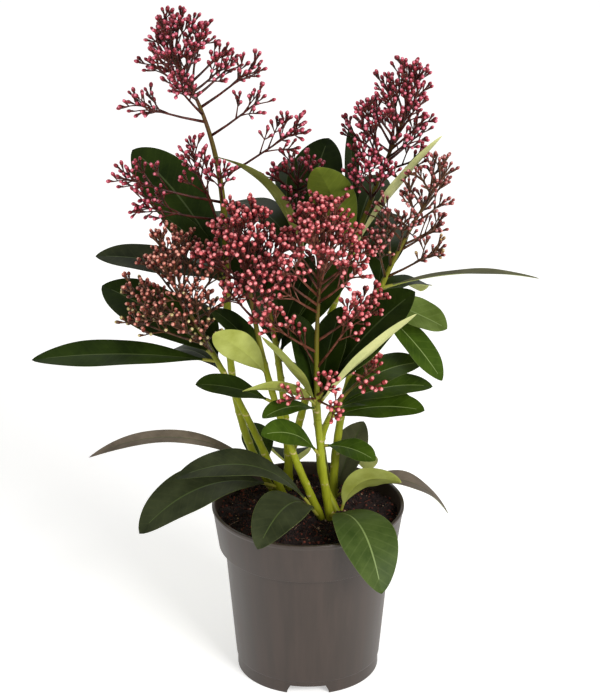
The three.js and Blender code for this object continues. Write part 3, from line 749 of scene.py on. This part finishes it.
def stem_radius(name, z):
    """A taper from the soil to the whorl, and another to the tip, where some are stouter."""
    whorl, tip = SHOOTS[name][1][2], SHOOTS[name][2][2]
    radii = [STEM_FOOT_RADIUS, STEM_TOP_RADIUS, AXIS_TIP_RADIUS]
    stout = 1 + AXIS_STOUTNESS.get(name, 0) * smooth_step(whorl - STOUT_LENGTH, whorl, z)
    return np.interp(z, [SOIL_TOP, whorl, tip], radii) * stout


def stem_rings(name, low, high, step, seed):
    """Level rings whose radius is the taper, plus a swelling and a raised scar at each node.

    A scar is a ring of the ellipse ((z - z0) / h)^2 + (arc / w)^2 = 1 round the node's side,
    and only its lower half shows, as a crescent.
    """
    whorl, tip = SHOOTS[name][1][2], SHOOTS[name][2][2]
    z = np.linspace(low, high, max(3, int((high - low) / step)))[:, None]
    angle = circle(STEM_COLUMNS)
    radius = stem_radius(name, z)
    nodes = np.arange(SOIL_TOP + 7, whorl + 6, SCAR_EVERY)
    number = np.arange(len(nodes))
    nodes = nodes + SCAR_UNEVENNESS * (chance(seed, number) - 0.5)
    turn = np.radians(GOLDEN_ANGLE * number + 90 * seed)
    above = z[..., None] - nodes
    round_stem = (angle[None, :, None] - turn + math.pi) % math.tau - math.pi
    far = np.hypot(above / SCAR_HALF_HEIGHT, round_stem * radius[..., None] / SCAR_HALF_WIDTH)
    swelling = SWELLING * np.exp(-((above / SWELLING_LENGTH) ** 2)).sum(axis=-1)
    cushion = CUSHION * np.exp(-(far**2)).sum(axis=-1)
    crescent = np.exp(-(((far - 1) / CRESCENT_WIDTH) ** 2)) * smooth_step(0.5, -0.3, above)
    reach = radius + swelling + cushion
    centre = on_shoot(name, z[:, 0])
    rings = points(
        centre[:, :1] + reach * np.cos(angle), centre[:, 1:2] + reach * np.sin(angle), z
    )
    age = np.where(z < whorl, (z - SOIL_TOP) / (whorl - SOIL_TOP), 1 + (z - whorl) / (tip - whorl))
    scar = np.clip(crescent.sum(axis=-1), 0, 1)
    return rings[None], centre[None, 0], centre[None, -1], points(age, scar, 0)[None]


def make_stems():
    """Each shoot from the soil to its whorl's underside, and its axis from there to its tip."""
    for seed, (name, (_, whorl, tip)) in enumerate(SHOOTS.items()):
        low, mid, high = SOIL_TOP - 3, whorl[2] - WHORL_BELOW, tip[2]
        for kind, *reach, node in (
            ("shoot", low, mid, 0.8, f"stem_{name}"), ("axis", mid, high, 1.0, None)
        ):
            *rings, marks = stem_rings(name, *reach, seed)
            make_piece(f"{kind}_{name}", *rings, [YOUNG_BARK], 0, marks, node, "stem")


make_stems()
print("shoots:", len(SHOOTS))

# %% [markdown]
# ## Leaves
#
# A skimmia leaf is thick, smooth and leathery: dark and softly glossy above with a sunken
# midrib, pale yellow-green beneath, and edged by a hair-thin line. Old low leaves turn dull,
# grey or bronze, and a few narrow ones are pale all over. The olive finish is the underside's
# colour darkened with painted shade. The grey one is an old leaf's colour, and on the middle
# shoot's lowest leaf it also paints the back in shade. A flat plane looks thin from the side, so
# each leaf is a closed blade with two faces. Midrib, edge and underside are finishes on their
# own faces, and only the faint side veins are a pattern.

# %% Leaf finishes
VEIN_SPACING = 6.5
VEIN_SHOW = 0.12


def leather_leaf(name, dark, light, roughness, vein):
    """A cloudy green with very faint side veins; marks.x is millimetres along the veins' rows."""
    finish, tree = new_finish(
        name, IOR=1.45, Specular_IOR_Level=0.1, Coat_Weight=0.02, Coat_Roughness=0.3
    )
    cloud = noise(tree, 55.0, 4.0, 0.6)
    blade = blend(tree, spread(tree, cloud, 0.34, 0.68), dark, light)
    rows = add_node(
        tree, "TexWave",
        {"bands_direction": "X", "Scale": math.tau / 20 / VEIN_SPACING, "Distortion": 0.6},
        {"Vector": marks_of(tree)},
    )
    veins = spread(tree, rows.outputs[1], 0.9, 1.0, 0, VEIN_SHOW)
    skin = relief(tree, noise(tree, 1800.0, 2.0), 0.12, 0.08)
    plug(
        tree,
        Base_Color=blend(tree, veins, blade, vein),
        Roughness=spread(tree, cloud, 0, 1, roughness - 0.06, roughness + 0.08),
        Normal=relief(tree, veins, 0.3, 0.5, invert=True, under=skin),
    )
    return finish


def plain_leaf(name, dark, light, roughness=0.5):
    """The same skin without veins, for the thin lines of midrib, edge and petiole."""
    finish, tree = new_finish(name, Roughness=roughness, IOR=1.45, Specular_IOR_Level=0.35)
    plug(tree, Base_Color=blend(tree, noise(tree, 90.0, 2.0), dark, light))
    return finish


LEAF_FINISHES = {
    "underside": leather_leaf("leaf underside, pale matte", "#858b3c", "#a0a65a", 0.6, "#92984c"),
    "midrib": plain_leaf("leaf midrib, olive", "#36431a", "#46532a"),
    "pale midrib": plain_leaf("leaf midrib, pale", "#66783e", "#7c8c54"),
    "edge": plain_leaf("leaf edge, pale horn", "#4c5a26", "#6d7840"),
    "petiole": plain_leaf("leaf stalk, green to red", "#8b9030", "#8f8236"),
    "deep": leather_leaf("evergreen leaf, deep green", "#172405", "#28370b", 0.46, "#36441a"),
    "fresh": leather_leaf("evergreen leaf, fresh green", "#283b07", "#3d5212", 0.46, "#5e7030"),
    "leafy": leather_leaf("evergreen leaf, light green", "#4c5c24", "#65763a", 0.5, "#7c8a50"),
    "mid": leather_leaf("evergreen leaf, mid green", "#304117", "#475727", 0.5, "#6c7848"),
    "dull": leather_leaf("evergreen leaf, dull green", "#252b18", "#3a4028", 0.52, "#4c5030"),
    # grey: an old leaf's grey green, which also paints the shaded back of the middle shoot's lowest
    # leaf
    "grey": leather_leaf("old leaf, grey green", "#41442f", "#56573f", 0.55, "#62634a"),
    "bronze": leather_leaf("old leaf, bronze grey", "#584e43", "#766a5c", 0.55, "#82766a"),
    "sage": leather_leaf("old leaf, sage", "#4e4f34", "#6e6d4c", 0.55, "#7c7a5a"),
    # olive: the underside's colour darkened to paint the shade it lies in, used on both faces of
    # one leaf
    "olive": leather_leaf("leaf underside in painted shade, olive", "#4a5517", "#5f6b22", 0.5, "#7a8438"),
    "pale": leather_leaf("narrow leaf, pale", "#a9ae72", "#c0c084", 0.6, "#ccc998"),
}
# These finishes also cover the underside. For olive, and for grey on one leaf, that paints a leaf
# back in shade.
TWO_SAME_FACES = ["olive", "pale", "grey"]
PALE_RIBBED = ["fresh", "leafy", "mid"]
FINISH_ORDER = list(LEAF_FINISHES)
print("leaf finishes:", FINISH_ORDER)

# %% [markdown]
# The blade's formula has two parameters: the share of the length from stalk to tip, and the
# share of the width from edge to edge. The midrib is a parabola, the outline a product of two
# powers that is widest past the middle, and the section a shallow trough with a groove above, a
# keel below, and edges that wave a little.

# %% The blade as one formula
PETIOLE = 1.1
PETIOLE_SHARE = 0.07
SLOW, QUICK = 1.05, 0.75
BLADE_THICKNESS = 0.55
LEAF_CUP = 0.12
GROOVE_DEPTH, GROOVE_WIDTH = 0.35, 1.3
KEEL_DEPTH, KEEL_WIDTH = 0.75, 0.9
WAVE_HEIGHT = 0.035
WAVES_ALONG = 2.3
VEIN_SLANT = 0.75
RIB_WIDTH = 0.03
EDGE_WIDTH = 0.02
RIB_END = 0.9
LEAF_ROWS = 34
HALF_ACROSS = np.array([0, 0.03, 0.1, 0.25, 0.42, 0.6, 0.78, 0.92, 0.985, 1])
UPPER = np.concatenate([HALF_ACROSS[::-1], -HALF_ACROSS[1:]])
ROUND = np.concatenate([UPPER, -UPPER[1:-1]])
row_share = np.linspace(0, 1, LEAF_ROWS + 1)[:-1]
ALONG = 0.55 * row_share + 0.45 * (1 - np.cos(math.pi * row_share)) / 2


def half_width(share, width):
    """Half the width at a share of the length: b^1.05 (1 - b)^0.75, scaled to its peak."""
    blade = np.clip((share - PETIOLE_SHARE) / (1 - PETIOLE_SHARE), 0, 1)
    peak = SLOW / (SLOW + QUICK)
    most = peak**SLOW * (1 - peak) ** QUICK
    shaped = width / 2 * blade**SLOW * (1 - blade) ** QUICK / most
    return np.maximum(shaped, PETIOLE * (1 - smooth_step(0.9, 1.0, share)))


def blade_rings(feet, tips, arch, width, roll, seeds):
    """Rings round each leaf, its upper face first, from the left edge to the right.

    point = midrib + side t h + face (cup + wave + groove or keel +- thickness sqrt(1 - t^2)),
    where t runs from 1 to -1 across and h is the half width.
    """
    chord = tips - feet
    length = np.linalg.norm(chord, axis=-1, keepdims=True)
    forward = chord / length
    lift = unit(UP - forward * forward[:, 2:])
    middle = (feet + tips) / 2 + lift * 2 * arch[:, None] * length
    s = ALONG[None, :, None]
    midrib = parabola(feet[:, None], middle[:, None], tips[:, None], s)
    tangent = unit((middle - feet)[:, None] * (1 - s) + (tips - middle)[:, None] * s)
    level = unit(points(-chord[:, 1], chord[:, 0], 0))[:, None]
    side = unit(level - tangent * dot(level, tangent))
    side = turned(side, tangent, roll[:, None, None])
    face = np.cross(tangent, side)

    t = ROUND
    upper = np.where(np.arange(len(t)) < len(UPPER), 1, -1)
    half = half_width(s, width[:, None, None])
    blade = smooth_step(PETIOLE_SHARE * 0.6, PETIOLE_SHARE * 2.2, s)
    thick = (1 - blade) * PETIOLE + blade * BLADE_THICKNESS / 2 * (1.1 - 0.5 * s)
    away = np.abs(t) * half
    groove = -GROOVE_DEPTH * np.exp(-((away / GROOVE_WIDTH) ** 2)) * blade * (1 - s) ** 0.5
    keel = -KEEL_DEPTH * np.exp(-((away / KEEL_WIDTH) ** 2)) * blade * (1 - s) ** 0.7
    phase = seeds[:, None, None]
    wave = np.sin(math.tau * (WAVES_ALONG * s + phase) + 1.6 * np.sign(t) * (phase + 0.4))
    wave = WAVE_HEIGHT * half * wave * np.abs(t) ** 3
    cup = LEAF_CUP * half * np.abs(t) ** 1.4 * blade
    height = cup + wave + upper * thick * np.sqrt(1 - t**2) + np.where(upper > 0, groove, keel)
    rings = midrib[:, :, None] + side[:, :, None] * (t * half)[..., None]
    rings = rings + face[:, :, None] * height[..., None]

    return rings, points(s * length[:, None] - VEIN_SLANT * away, away, 0)


def numbers(names):
    """The number of each named finish, shaped to fill the faces of its leaf."""
    return np.array([FINISH_ORDER.index(name) for name in names])[:, None, None]


def leaf_bands(finishes):
    """The finish of each face: stalk, midrib, edge, underside, or the leaf's own upper face."""
    underside, edge, petiole = numbers(["underside", "edge", "petiole"]).ravel()
    between = np.abs(ROUND + np.roll(ROUND, -1)) / 2
    is_upper = np.arange(len(ROUND)) < len(UPPER) - 1
    rib = (between < RIB_WIDTH) & is_upper
    bands = np.full((len(finishes), LEAF_ROWS + 1, len(ROUND)), underside)
    bands[:, :, between > 1 - EDGE_WIDTH] = edge
    bands[:, :, rib] = numbers("pale midrib" if n in PALE_RIBBED else "midrib" for n in finishes)
    bands[:, ALONG.searchsorted(RIB_END) + 1 :, rib] = -1
    bands[:, :, (between > RIB_WIDTH) & (between < 1 - EDGE_WIDTH) & is_upper] = -1
    bands[:, : ALONG.searchsorted(PETIOLE_SHARE) + 1] = petiole
    same = np.array([name in TWO_SAME_FACES for name in finishes])[:, None, None]
    return np.where((bands < 0) | (same & (bands == underside)), numbers(finishes), bands)


def make_leaves(name, feet, inside, rows, seed, node):
    """One piece of the leaves of a table's rows; inside is where their stalks start in the stem."""
    _, x, y, z, *others = np.array([row[:7] for row in rows], float).T
    names = [row[7] if len(row) > 7 else "deep" for row in rows]
    tips = points(x, y, z)
    rings, marks = blade_rings(feet, tips, *others, chance(seed + 51, np.arange(len(rows))))
    finishes = list(LEAF_FINISHES.values())
    make_piece(name, rings, inside, tips, finishes, leaf_bands(names), marks, node, "foliage")
    return rings.reshape(-1, 3)


STALK_CLEARANCE = 0.3

leaf_points = []
for seed, (name, rows) in enumerate(WHORL_LEAVES.items()):
    feet = on_shoot(name, [row[0] for row in rows])
    node = f"leaves_{name}"
    leaf_points.append(make_leaves(f"foliage_{name}", feet, feet - UP, rows, seed, node))
for seed, (name, (shoot, *row)) in enumerate(LOW_LEAVES.items(), 20):
    stem = on_shoot(shoot, [row[0]])
    outward = unit(np.array([row[1:3]]) - stem[:, :2])
    reach = stem_radius(shoot, row[0]) + STALK_CLEARANCE
    foot = stem + np.append(outward[0] * reach, 0)
    leaf_points.append(make_leaves(f"blade_{name}", foot, stem, [row], seed, f"leaf_{name}"))
leaf_points = np.concatenate(leaf_points)
print("points on leaves:", len(leaf_points))

# %% [markdown]
# ## Flower heads
#
# A skimmia head is a panicle: side branches by the golden angle round the shoot's tip, bare for
# their first half, then short branchlets that each end in a cluster of three to five buds on
# stalks. One rule grows every head, from a few sizes and a seed. A twig that would run into a
# leaf or another shoot is left out. So is a bud that would, or that comes too near another bud,
# as it would be crowded out on the plant.

# %% Each head's sizes
# Branches wind up the axis from a height. Length and rise in degrees change from the first
# branch's to the last one's. Height, branches, lengths, rises, first azimuth, seed, size of a bud
# against a common one, finish of buds and of twigs.
HEADS = {
    "tall": (400, 18, (35, 25), (20, 70), 118, 1, 0.95, "crimson", "maroon"),
    "upper": (346, 24, (28, 25), (20, 76), 334, 6, 0.95, "crimson", "maroon"),
    "right": (300, 16, (28, 16), (24, 62), 0, 7, 0.86, "russet", "brown"),
    "mid_left": (282, 16, (34, 24), (34, 74), 282, 3, 1.08, "rose", "maroon"),
    "front": (272, 20, (42, 28), (34, 78), 177, 5, 1.12, "rose", "russet"),
    "left": (254, 14, (44, 28), (30, 76), 201, 2, 0.97, "brick", "brown"),
    "middle": (268, 7, (18, 15), (10, 70), 263, 4, 1.0, "rose", "maroon"),
    "back": (326, 8, (20, 14), (8, 64), 257, 8, 0.95, "crimson", "maroon"),
    "low_right": (212, 5, (14, 9), (0, 50), 291, 9, 1.1, "rose", "russet"),
}
# Longer branches lower down: height, azimuth, rise in degrees, length.
SIDES = {
    "tall": [
        (396, 10, 30, 44), (391, 234, 40, 36), (386, 185, 10, 46), (376, 345, 34, 42),
        (346, 354, 30, 62), (329, 189, 11, 66), (316, 198, 10, 58), (326, 266, 46, 40),
        (302, 228, 63, 74),
    ],
    "upper": [
        (348, 215, 68, 44), (335, 235, 54, 34), (327, 240, 38, 32), (327, 290, 38, 38),
        (325, 266, 42, 48),
    ],
    "right": [
        (296, 0, 28, 30), (296, 279, 50, 38), (285, 265, 52, 44), (277, 258, 45, 48),
        (277, 343, 28, 42),
    ],
    "mid_left": [(285, 186, 32, 36), (265, 273, 45, 38), (262, 224, 45, 32)],
    "front": [
        (287, 16, 28, 42), (267, 204, 32, 30), (246, 8, 30, 46), (238, 209, 33, 50),
        (228, 153, 50, 24), (226, 333, 53, 54), (206, 286, 30, 26), (204, 230, 12, 26),
        (203, 241, -8, 24), (203, 300, 0, 22),
    ],
    "left": [
        (251, 180, 24, 50), (249, 268, 46, 40), (245, 293, 56, 32), (242, 212, 28, 50),
        (238, 192, 18, 52), (234, 233, 38, 50), (232, 258, 38, 34),
    ],
}
# Two heads have paler lower buds, which give way to the head's own from one height to another.
LOWER_BUDS = {"right": ("tan", 276, 318), "left": ("cream", 236, 290)}
print("heads:", list(HEADS))

# %% Bud and twig finishes


def waxy(name, dark, light, roughness=0.4):
    """A smooth waxy skin: two tones in soft patches a few millimetres wide."""
    finish, tree = new_finish(
        name, Roughness=roughness, IOR=1.45, Specular_IOR_Level=0.25,
        Coat_Weight=0.14, Coat_Roughness=0.25,
    )
    patches = spread(tree, noise(tree, 260.0, 2.0), 0.36, 0.64)
    plug(tree, Base_Color=blend(tree, patches, dark, light))
    return finish


def body_and_tip_with_highlight(body, body_dark, body_light, tip, tip_and_highlight_dark, tip_and_highlight_light):
    """The two finishes of a bud above its calyx: its body, and its paler tip, whose light tones are
    partly a painted highlight.
    """
    return waxy(f"bud, {body}", body_dark, body_light), waxy(f"bud tip, {tip}", tip_and_highlight_dark, tip_and_highlight_light)


# The calyx's dark maroon is partly its own colour and partly painted shade at the bud's foot.
CALYX_AND_PAINTED_SHADE = waxy("bud calyx and painted shade, dark maroon", "#2c0806", "#4c1a12")
# Body colours, then the tip's, whose light tones are partly the bud's paler tip and partly a
# painted highlight.
BUD_FINISHES = {
    "crimson": body_and_tip_with_highlight("crimson", "#660f1a", "#8a2632", "rose", "#b24658", "#d2788a"),
    "rose": body_and_tip_with_highlight("rose red", "#741c20", "#9c3a3c", "coral", "#d06468", "#f09c9c"),
    "russet": body_and_tip_with_highlight("russet", "#5c1c1c", "#803a34", "dusty rose", "#aa6260", "#c48884"),
    "brick": body_and_tip_with_highlight("brick red", "#5a1f18", "#7c3626", "brick", "#ba7262", "#dc9c8a"),
    "tan": body_and_tip_with_highlight("olive brown", "#5a3a20", "#7c5a34", "tan", "#a08454", "#bca474"),
    "cream": body_and_tip_with_highlight("brown red", "#482a16", "#6a4426", "cream", "#a8965e", "#d0c494"),
}
TWIG_FINISHES = {
    "maroon": waxy("flower twig, maroon", "#300c06", "#521e12", 0.5),
    "russet": waxy("flower twig, red-brown", "#44200f", "#704030", 0.5),
    "brown": waxy("flower twig, brown", "#341c0e", "#5a3820", 0.5),
}
print("bud finishes:", list(BUD_FINISHES))

# %% [markdown]
# The rule works with one branch at a time, because each has to find its place among what is
# there already. It only notes where twigs and buds go. All meshes are then made at once.

# %% The growth rule
BRANCH_SEGMENTS = 3
BRANCH_LIFT = 0.06
BARE_SHARE, LAST_SHARE = 0.48, 0.97
BRANCHLET_EVERY = 7
BRANCHLET_LIFT = 0.22
BRANCHLET_LEAST = 4
BRANCHLET_GROWTH = 0.26
BRANCHLET_TAPER = 1.35
TWO_PAIRS_FROM = 10.5
WIDEST_OPENING, OPENING_LOSS = 46, 14
PAIR_OPENING, PAIR_WIDENING = 40, 8
FIRST_PAIR, PAIR_SPACING = 0.6, 3.7
TOP_STALK, TOP_STALK_RANGE = 3.0, 1.5
SIDE_STALK, SIDE_STALK_RANGE = 3.6, 2.2
SIDE_COUNT = 50
UNEVENNESS = 0.12
BUD_WIDTH = 2.75
BUD_LENGTH = 3.8
SMALLEST_BUD, BUD_RANGE = 0.86, 0.26
BUD_SPACING = 3.5
MOST_BUDS = 9000
BUD_CLEARANCE, BRANCH_CLEARANCE, BRANCHLET_CLEARANCE = 1.8, 1.0, 0.8
LIMB_RADIUS = 2.2

leaf_tree = KDTree(len(leaf_points))
for index, point in enumerate(leaf_points):
    leaf_tree.insert(point, index)
leaf_tree.balance()
limbs = {name: on_shoot(name, np.arange(SOIL_TOP, SHOOTS[name][2][2], 2.0)) for name in SHOOTS}


def leaning(axis, side, degrees):
    """The axis opened towards a side direction that is square to it: cos a axis + sin a side."""
    angle = math.radians(degrees)
    return axis * math.cos(angle) + side * math.sin(angle)


class Head:
    """What one head has grown: paths of twigs, and the foot, direction and size of each bud."""

    places = np.full((MOST_BUDS, 3), 1e6)
    count = 0

    def __init__(self, name):
        self.name = name
        self.size = HEADS[name][6]
        self.branches, self.branchlets, self.stalks, self.buds = [], [], [], []
        self.others = np.concatenate([limbs[other] for other in SHOOTS if other != name])

    def is_clear(self, places, clearance):
        """True if each place is further than clearance from every leaf and every other shoot."""
        if any(leaf_tree.find(place)[2] < clearance for place in places):
            return False
        away = np.linalg.norm(self.others[:, None] - np.array(places), axis=-1)
        return away.min() > clearance + LIMB_RADIUS

    def bud(self, foot, direction, stalk, seed):
        """Adds a bud on its stalk, unless a leaf, a shoot or another bud is in the way."""
        base = foot + direction * stalk
        size = self.size * (SMALLEST_BUD + BUD_RANGE * chance(seed, 3))
        centre = base + direction * BUD_LENGTH * size / 2
        apart = ((Head.places[: Head.count + 1] - centre) ** 2).sum(axis=1).min()
        if apart < BUD_SPACING**2 or not self.is_clear([centre], BUD_CLEARANCE):
            return
        Head.places[Head.count] = centre
        Head.count += 1
        self.stalks.append((foot, base))
        self.buds.append((base, direction, size, seed))

    def cluster(self, end, direction, seed, pairs):
        """A bud at the twig's end, and pairs of buds opposite each other below it."""
        self.bud(end, direction, TOP_STALK + TOP_STALK_RANGE * chance(seed, 1), seed)
        level = unit(np.cross(direction, UP) + NUDGE)
        for pair in range(pairs):
            foot = end - direction * (FIRST_PAIR + PAIR_SPACING * pair)
            spin = 360 * chance(seed, 2) + 90 * pair
            for opposite in (0, 180):
                side = turned(level, direction, spin + opposite)
                way = leaning(direction, side, PAIR_OPENING + PAIR_WIDENING * pair)
                count = 4 + 2 * pair + opposite / 180
                stalk = SIDE_STALK + SIDE_STALK_RANGE * chance(seed, count)
                self.bud(foot, unit(way + UP * BRANCHLET_LIFT), stalk, seed + 0.37 * count)

    def branch(self, start, direction, length, seed):
        """Lifts as it grows, is bare for its first half, then bears branchlets by turns."""
        path = [start]
        step = direction
        for _ in range(BRANCH_SEGMENTS):
            step = unit(step + UP * BRANCH_LIFT)
            path.append(path[-1] + step * length / BRANCH_SEGMENTS)
        path = np.array(path)
        if not self.is_clear(path[1:], BRANCH_CLEARANCE):
            return
        self.branches.append(path)
        self.cluster(path[-1], step, seed + 0.5, 2)
        count = max(1, math.floor(length / BRANCHLET_EVERY + 0.5))
        for j in range(count):
            share = BARE_SHARE + (LAST_SHARE - BARE_SHARE) * (j + 0.5) / count
            place = share * BRANCH_SEGMENTS
            index = min(BRANCH_SEGMENTS - 1, int(place))
            foot = path[index] + (path[index + 1] - path[index]) * (place - index)
            forward = unit(path[index + 1] - path[index])
            spin = GOLDEN_ANGLE * j + 360 * chance(seed, 9)
            side = turned(unit(np.cross(forward, UP)), forward, spin)
            outward = leaning(forward, side, WIDEST_OPENING - OPENING_LOSS * share)
            outward = unit(outward + UP * BRANCHLET_LIFT)
            reach = BRANCHLET_LEAST + BRANCHLET_GROWTH * length * (BRANCHLET_TAPER - share)
            end = foot + outward * reach
            if self.is_clear([foot, (foot + end) / 2, end], BRANCHLET_CLEARANCE):
                self.branchlets.append((foot, end))
                self.cluster(end, outward, seed + 0.11 * (j + 1), 1 + int(reach > TWO_PAIRS_FROM))

    def grow(self):
        """The side branches first, and then the crown's, from its foot up to the tip."""
        low, count, lengths, rises, azimuth, seed, *_ = HEADS[self.name]
        high = SHOOTS[self.name][2][2] - 1
        branches = [(*side, i) for i, side in enumerate(SIDES.get(self.name, []), SIDE_COUNT)]
        for i in range(count):
            share = i / (count - 1)
            rise, length = (np.interp(share, [0, 1], ends) for ends in (rises, lengths))
            length = length * (1 + UNEVENNESS * (2 * chance(seed, i) - 1))
            turn = azimuth + GOLDEN_ANGLE * i
            branches.append((low + (high - low) * share, turn, rise, length, i))
        for z, turn, rise, length, number in branches:
            turn = math.radians(turn)
            way = leaning(np.array([math.cos(turn), math.sin(turn), 0]), UP, rise)
            self.branch(on_shoot(self.name, z), way, length, seed * 7 + number)
        return self


heads = [Head(name).grow() for name in HEADS]
print("buds:", {head.name: len(head.buds) for head in heads})

# %% [markdown]
# A bud is a small egg with four faint flats, where its closed petals meet. It is made once, as a
# profile of six rings of eight points, and set at every stalk's end in one array. Its calyx,
# body and tip have finishes of their own. The dark calyx over its lowest quarter also paints the
# shade at its foot, and the pale tip also paints the highlight on top. A stalk widens towards
# its bud.

# %% Meshes of the heads
BUD_HEIGHTS = np.array([0.0, 0.1, 0.25, 0.5, 0.74, 0.92])
BUD_RADII = np.array([0.34, 0.64, 0.88, 1.0, 0.86, 0.48])
# Calyx, body and tip bands: the dark foot and the pale top are partly painted shade and partly a
# painted highlight.
BUD_BANDS = np.array([0, 0, 0, 1, 1, 2, 2])[:, None]
BUD_SIDES, BUD_FLATNESS = 8, 0.08
# The radii along each kind of twig, and its number of sides.
BRANCH_SHAPE = np.array([1.05, 0.8, 0.68, 0.55]), 7
BRANCHLET_SHAPE = np.array([0.62, 0.48, 0.44, 0.42]), 6
STALK_SHAPE = np.array([0.4, 0.42, 0.55, 0.85]), 6
BRANCHLET_BEND, STALK_BEND = 0.35, -0.25


def bud_rings(feet, ways, sizes, spins):
    """Foot + way height + side radius, with each second point a little nearer the axis."""
    side = turned(unit(np.cross(ways, UP) + NUDGE), ways, spins[:, None])
    second = np.cross(ways, side)
    angle = circle(BUD_SIDES)[:, None]
    flats = 1 - BUD_FLATNESS * (np.arange(BUD_SIDES) % 2)
    spokes = np.cos(angle) * side[:, None] + np.sin(angle) * second[:, None]
    radius = BUD_RADII[:, None] * flats * BUD_WIDTH / 2 * sizes[:, None, None]
    height = BUD_HEIGHTS * BUD_LENGTH * sizes[:, None]
    axis = feet[:, None] + ways[:, None] * height[..., None]
    return axis[:, :, None] + spokes[:, None] * radius[..., None]


def make_head(head):
    """Twigs, stalks and buds, each kind one piece."""
    *_, upper, twig = HEADS[head.name]
    told = {"node": f"flowers_{head.name}", "slot": "flower_buds"}
    finishes = [TWIG_FINISHES[twig]]
    for kind, paths, shape in (
        ("branches", np.array(head.branches), BRANCH_SHAPE),
        ("branchlets", bent(*np.swapaxes(head.branchlets, 0, 1), BRANCHLET_BEND), BRANCHLET_SHAPE),
        ("stalks", bent(*np.swapaxes(head.stalks, 0, 1), STALK_BEND), STALK_SHAPE),
    ):
        rings = tube_rings(paths, *shape)
        make_piece(f"{kind}_{head.name}", rings, paths[:, 0], paths[:, -1], finishes, **told)

    feet, ways, sizes, seeds = (np.array(part) for part in zip(*head.buds))
    rings = bud_rings(feet, ways, sizes, 360 * chance(seeds, 7))
    tips = feet + ways * (BUD_LENGTH * sizes)[:, None]
    lower, low, high = LOWER_BUDS.get(head.name, (upper, 0, 1))
    finishes = [CALYX_AND_PAINTED_SHADE, *BUD_FINISHES[lower], *BUD_FINISHES[upper]]
    is_upper = smooth_step(low, high, feet[:, 2]) > chance(seeds, 8)
    bands = BUD_BANDS + 2 * is_upper[:, None, None] * (BUD_BANDS > 0)
    make_piece(f"buds_{head.name}", rings, feet, tips, finishes, bands, **told)


for head in heads:
    make_head(head)
print("buds in all:", Head.count)

# %% [markdown]
# ## Floor, light and camera
#
# A plant is pictured on white: a pale floor, soft light from large sources, and a long lens
# that looks down a little, so that soil and rim show.

# %% The stage
FLOOR_SIZE = 6.0
FLOOR_GLOW = 0.42
SKY_STRENGTH = 0.38
# Place and aim in metres, size in metres, power in watts.
LIGHTS = {
    "key": ((1.25, -1.8, 1.3), (0, 0, 0.25), 1.1, 58),
    "fill": ((-1.7, -1.3, 0.9), (0, 0, 0.25), 1.2, 10),
    "back": ((-0.3, 1.6, 1.5), (0, 0, 0.3), 1.0, 6),
}
CAMERA_DISTANCE = 1.9
CAMERA_RISE = math.radians(26.4)
CAMERA_SIDESTEP = -0.0054
CAMERA_PITCH = math.radians(23.289)
LENS = 144.3
SENSOR = 36


def pale_floor():
    """A plain board, nearly white, that glows a little, as a light table does."""
    finish, _ = new_finish(
        "floor, matt white paint", Roughness=0.9, Base_Color=linear("#f7f6f4"),
        Emission_Color=linear("#ffffff"), Emission_Strength=FLOOR_GLOW,
    )
    half = FLOOR_SIZE / 2
    mesh = bpy.data.meshes.new("floor")
    corners = [(-half, -half, 0), (half, -half, 0), (half, half, 0), (-half, half, 0)]
    mesh.from_pydata(corners, [], [(0, 1, 2, 3)])
    mesh.materials.append(finish)
    placed("floor", mesh)


def add_light(name, place, aim, size, power):
    """A square area light at place that faces aim."""
    lamp = bpy.data.lights.new(name, "AREA")
    lamp.size = size
    lamp.energy = power
    x, y, z = np.array(place, float) - np.array(aim, float)
    turn = (math.atan2(math.hypot(x, y), z), 0, math.atan2(x, -y))
    placed(name, lamp, place, turn)


def add_camera():
    """Stands off the rim's middle by the distance and rise, and looks along +Y and down."""
    lens = bpy.data.cameras.new("camera")
    lens.lens = LENS
    lens.sensor_width = SENSOR
    level = CAMERA_DISTANCE * math.cos(CAMERA_RISE)
    height = POT_HEIGHT * MM + CAMERA_DISTANCE * math.sin(CAMERA_RISE)
    turn = (math.pi / 2 - CAMERA_PITCH, 0, 0)
    bpy.context.scene.camera = placed("camera", lens, (CAMERA_SIDESTEP, -level, height), turn)


def white_surroundings():
    """An even white sky, which a white studio amounts to."""
    world = bpy.data.worlds.new("white studio")
    world.use_nodes = True
    sky = world.node_tree.nodes["Background"]
    sky.inputs["Color"].default_value = linear("#ffffff")
    sky.inputs["Strength"].default_value = SKY_STRENGTH
    bpy.context.scene.world = world


pale_floor()
white_surroundings()
for name, light in LIGHTS.items():
    add_light(name, *light)
add_camera()
bpy.context.scene.view_settings.view_transform = "Standard"
print("camera at", tuple(round(v, 3) for v in bpy.context.scene.camera.location))
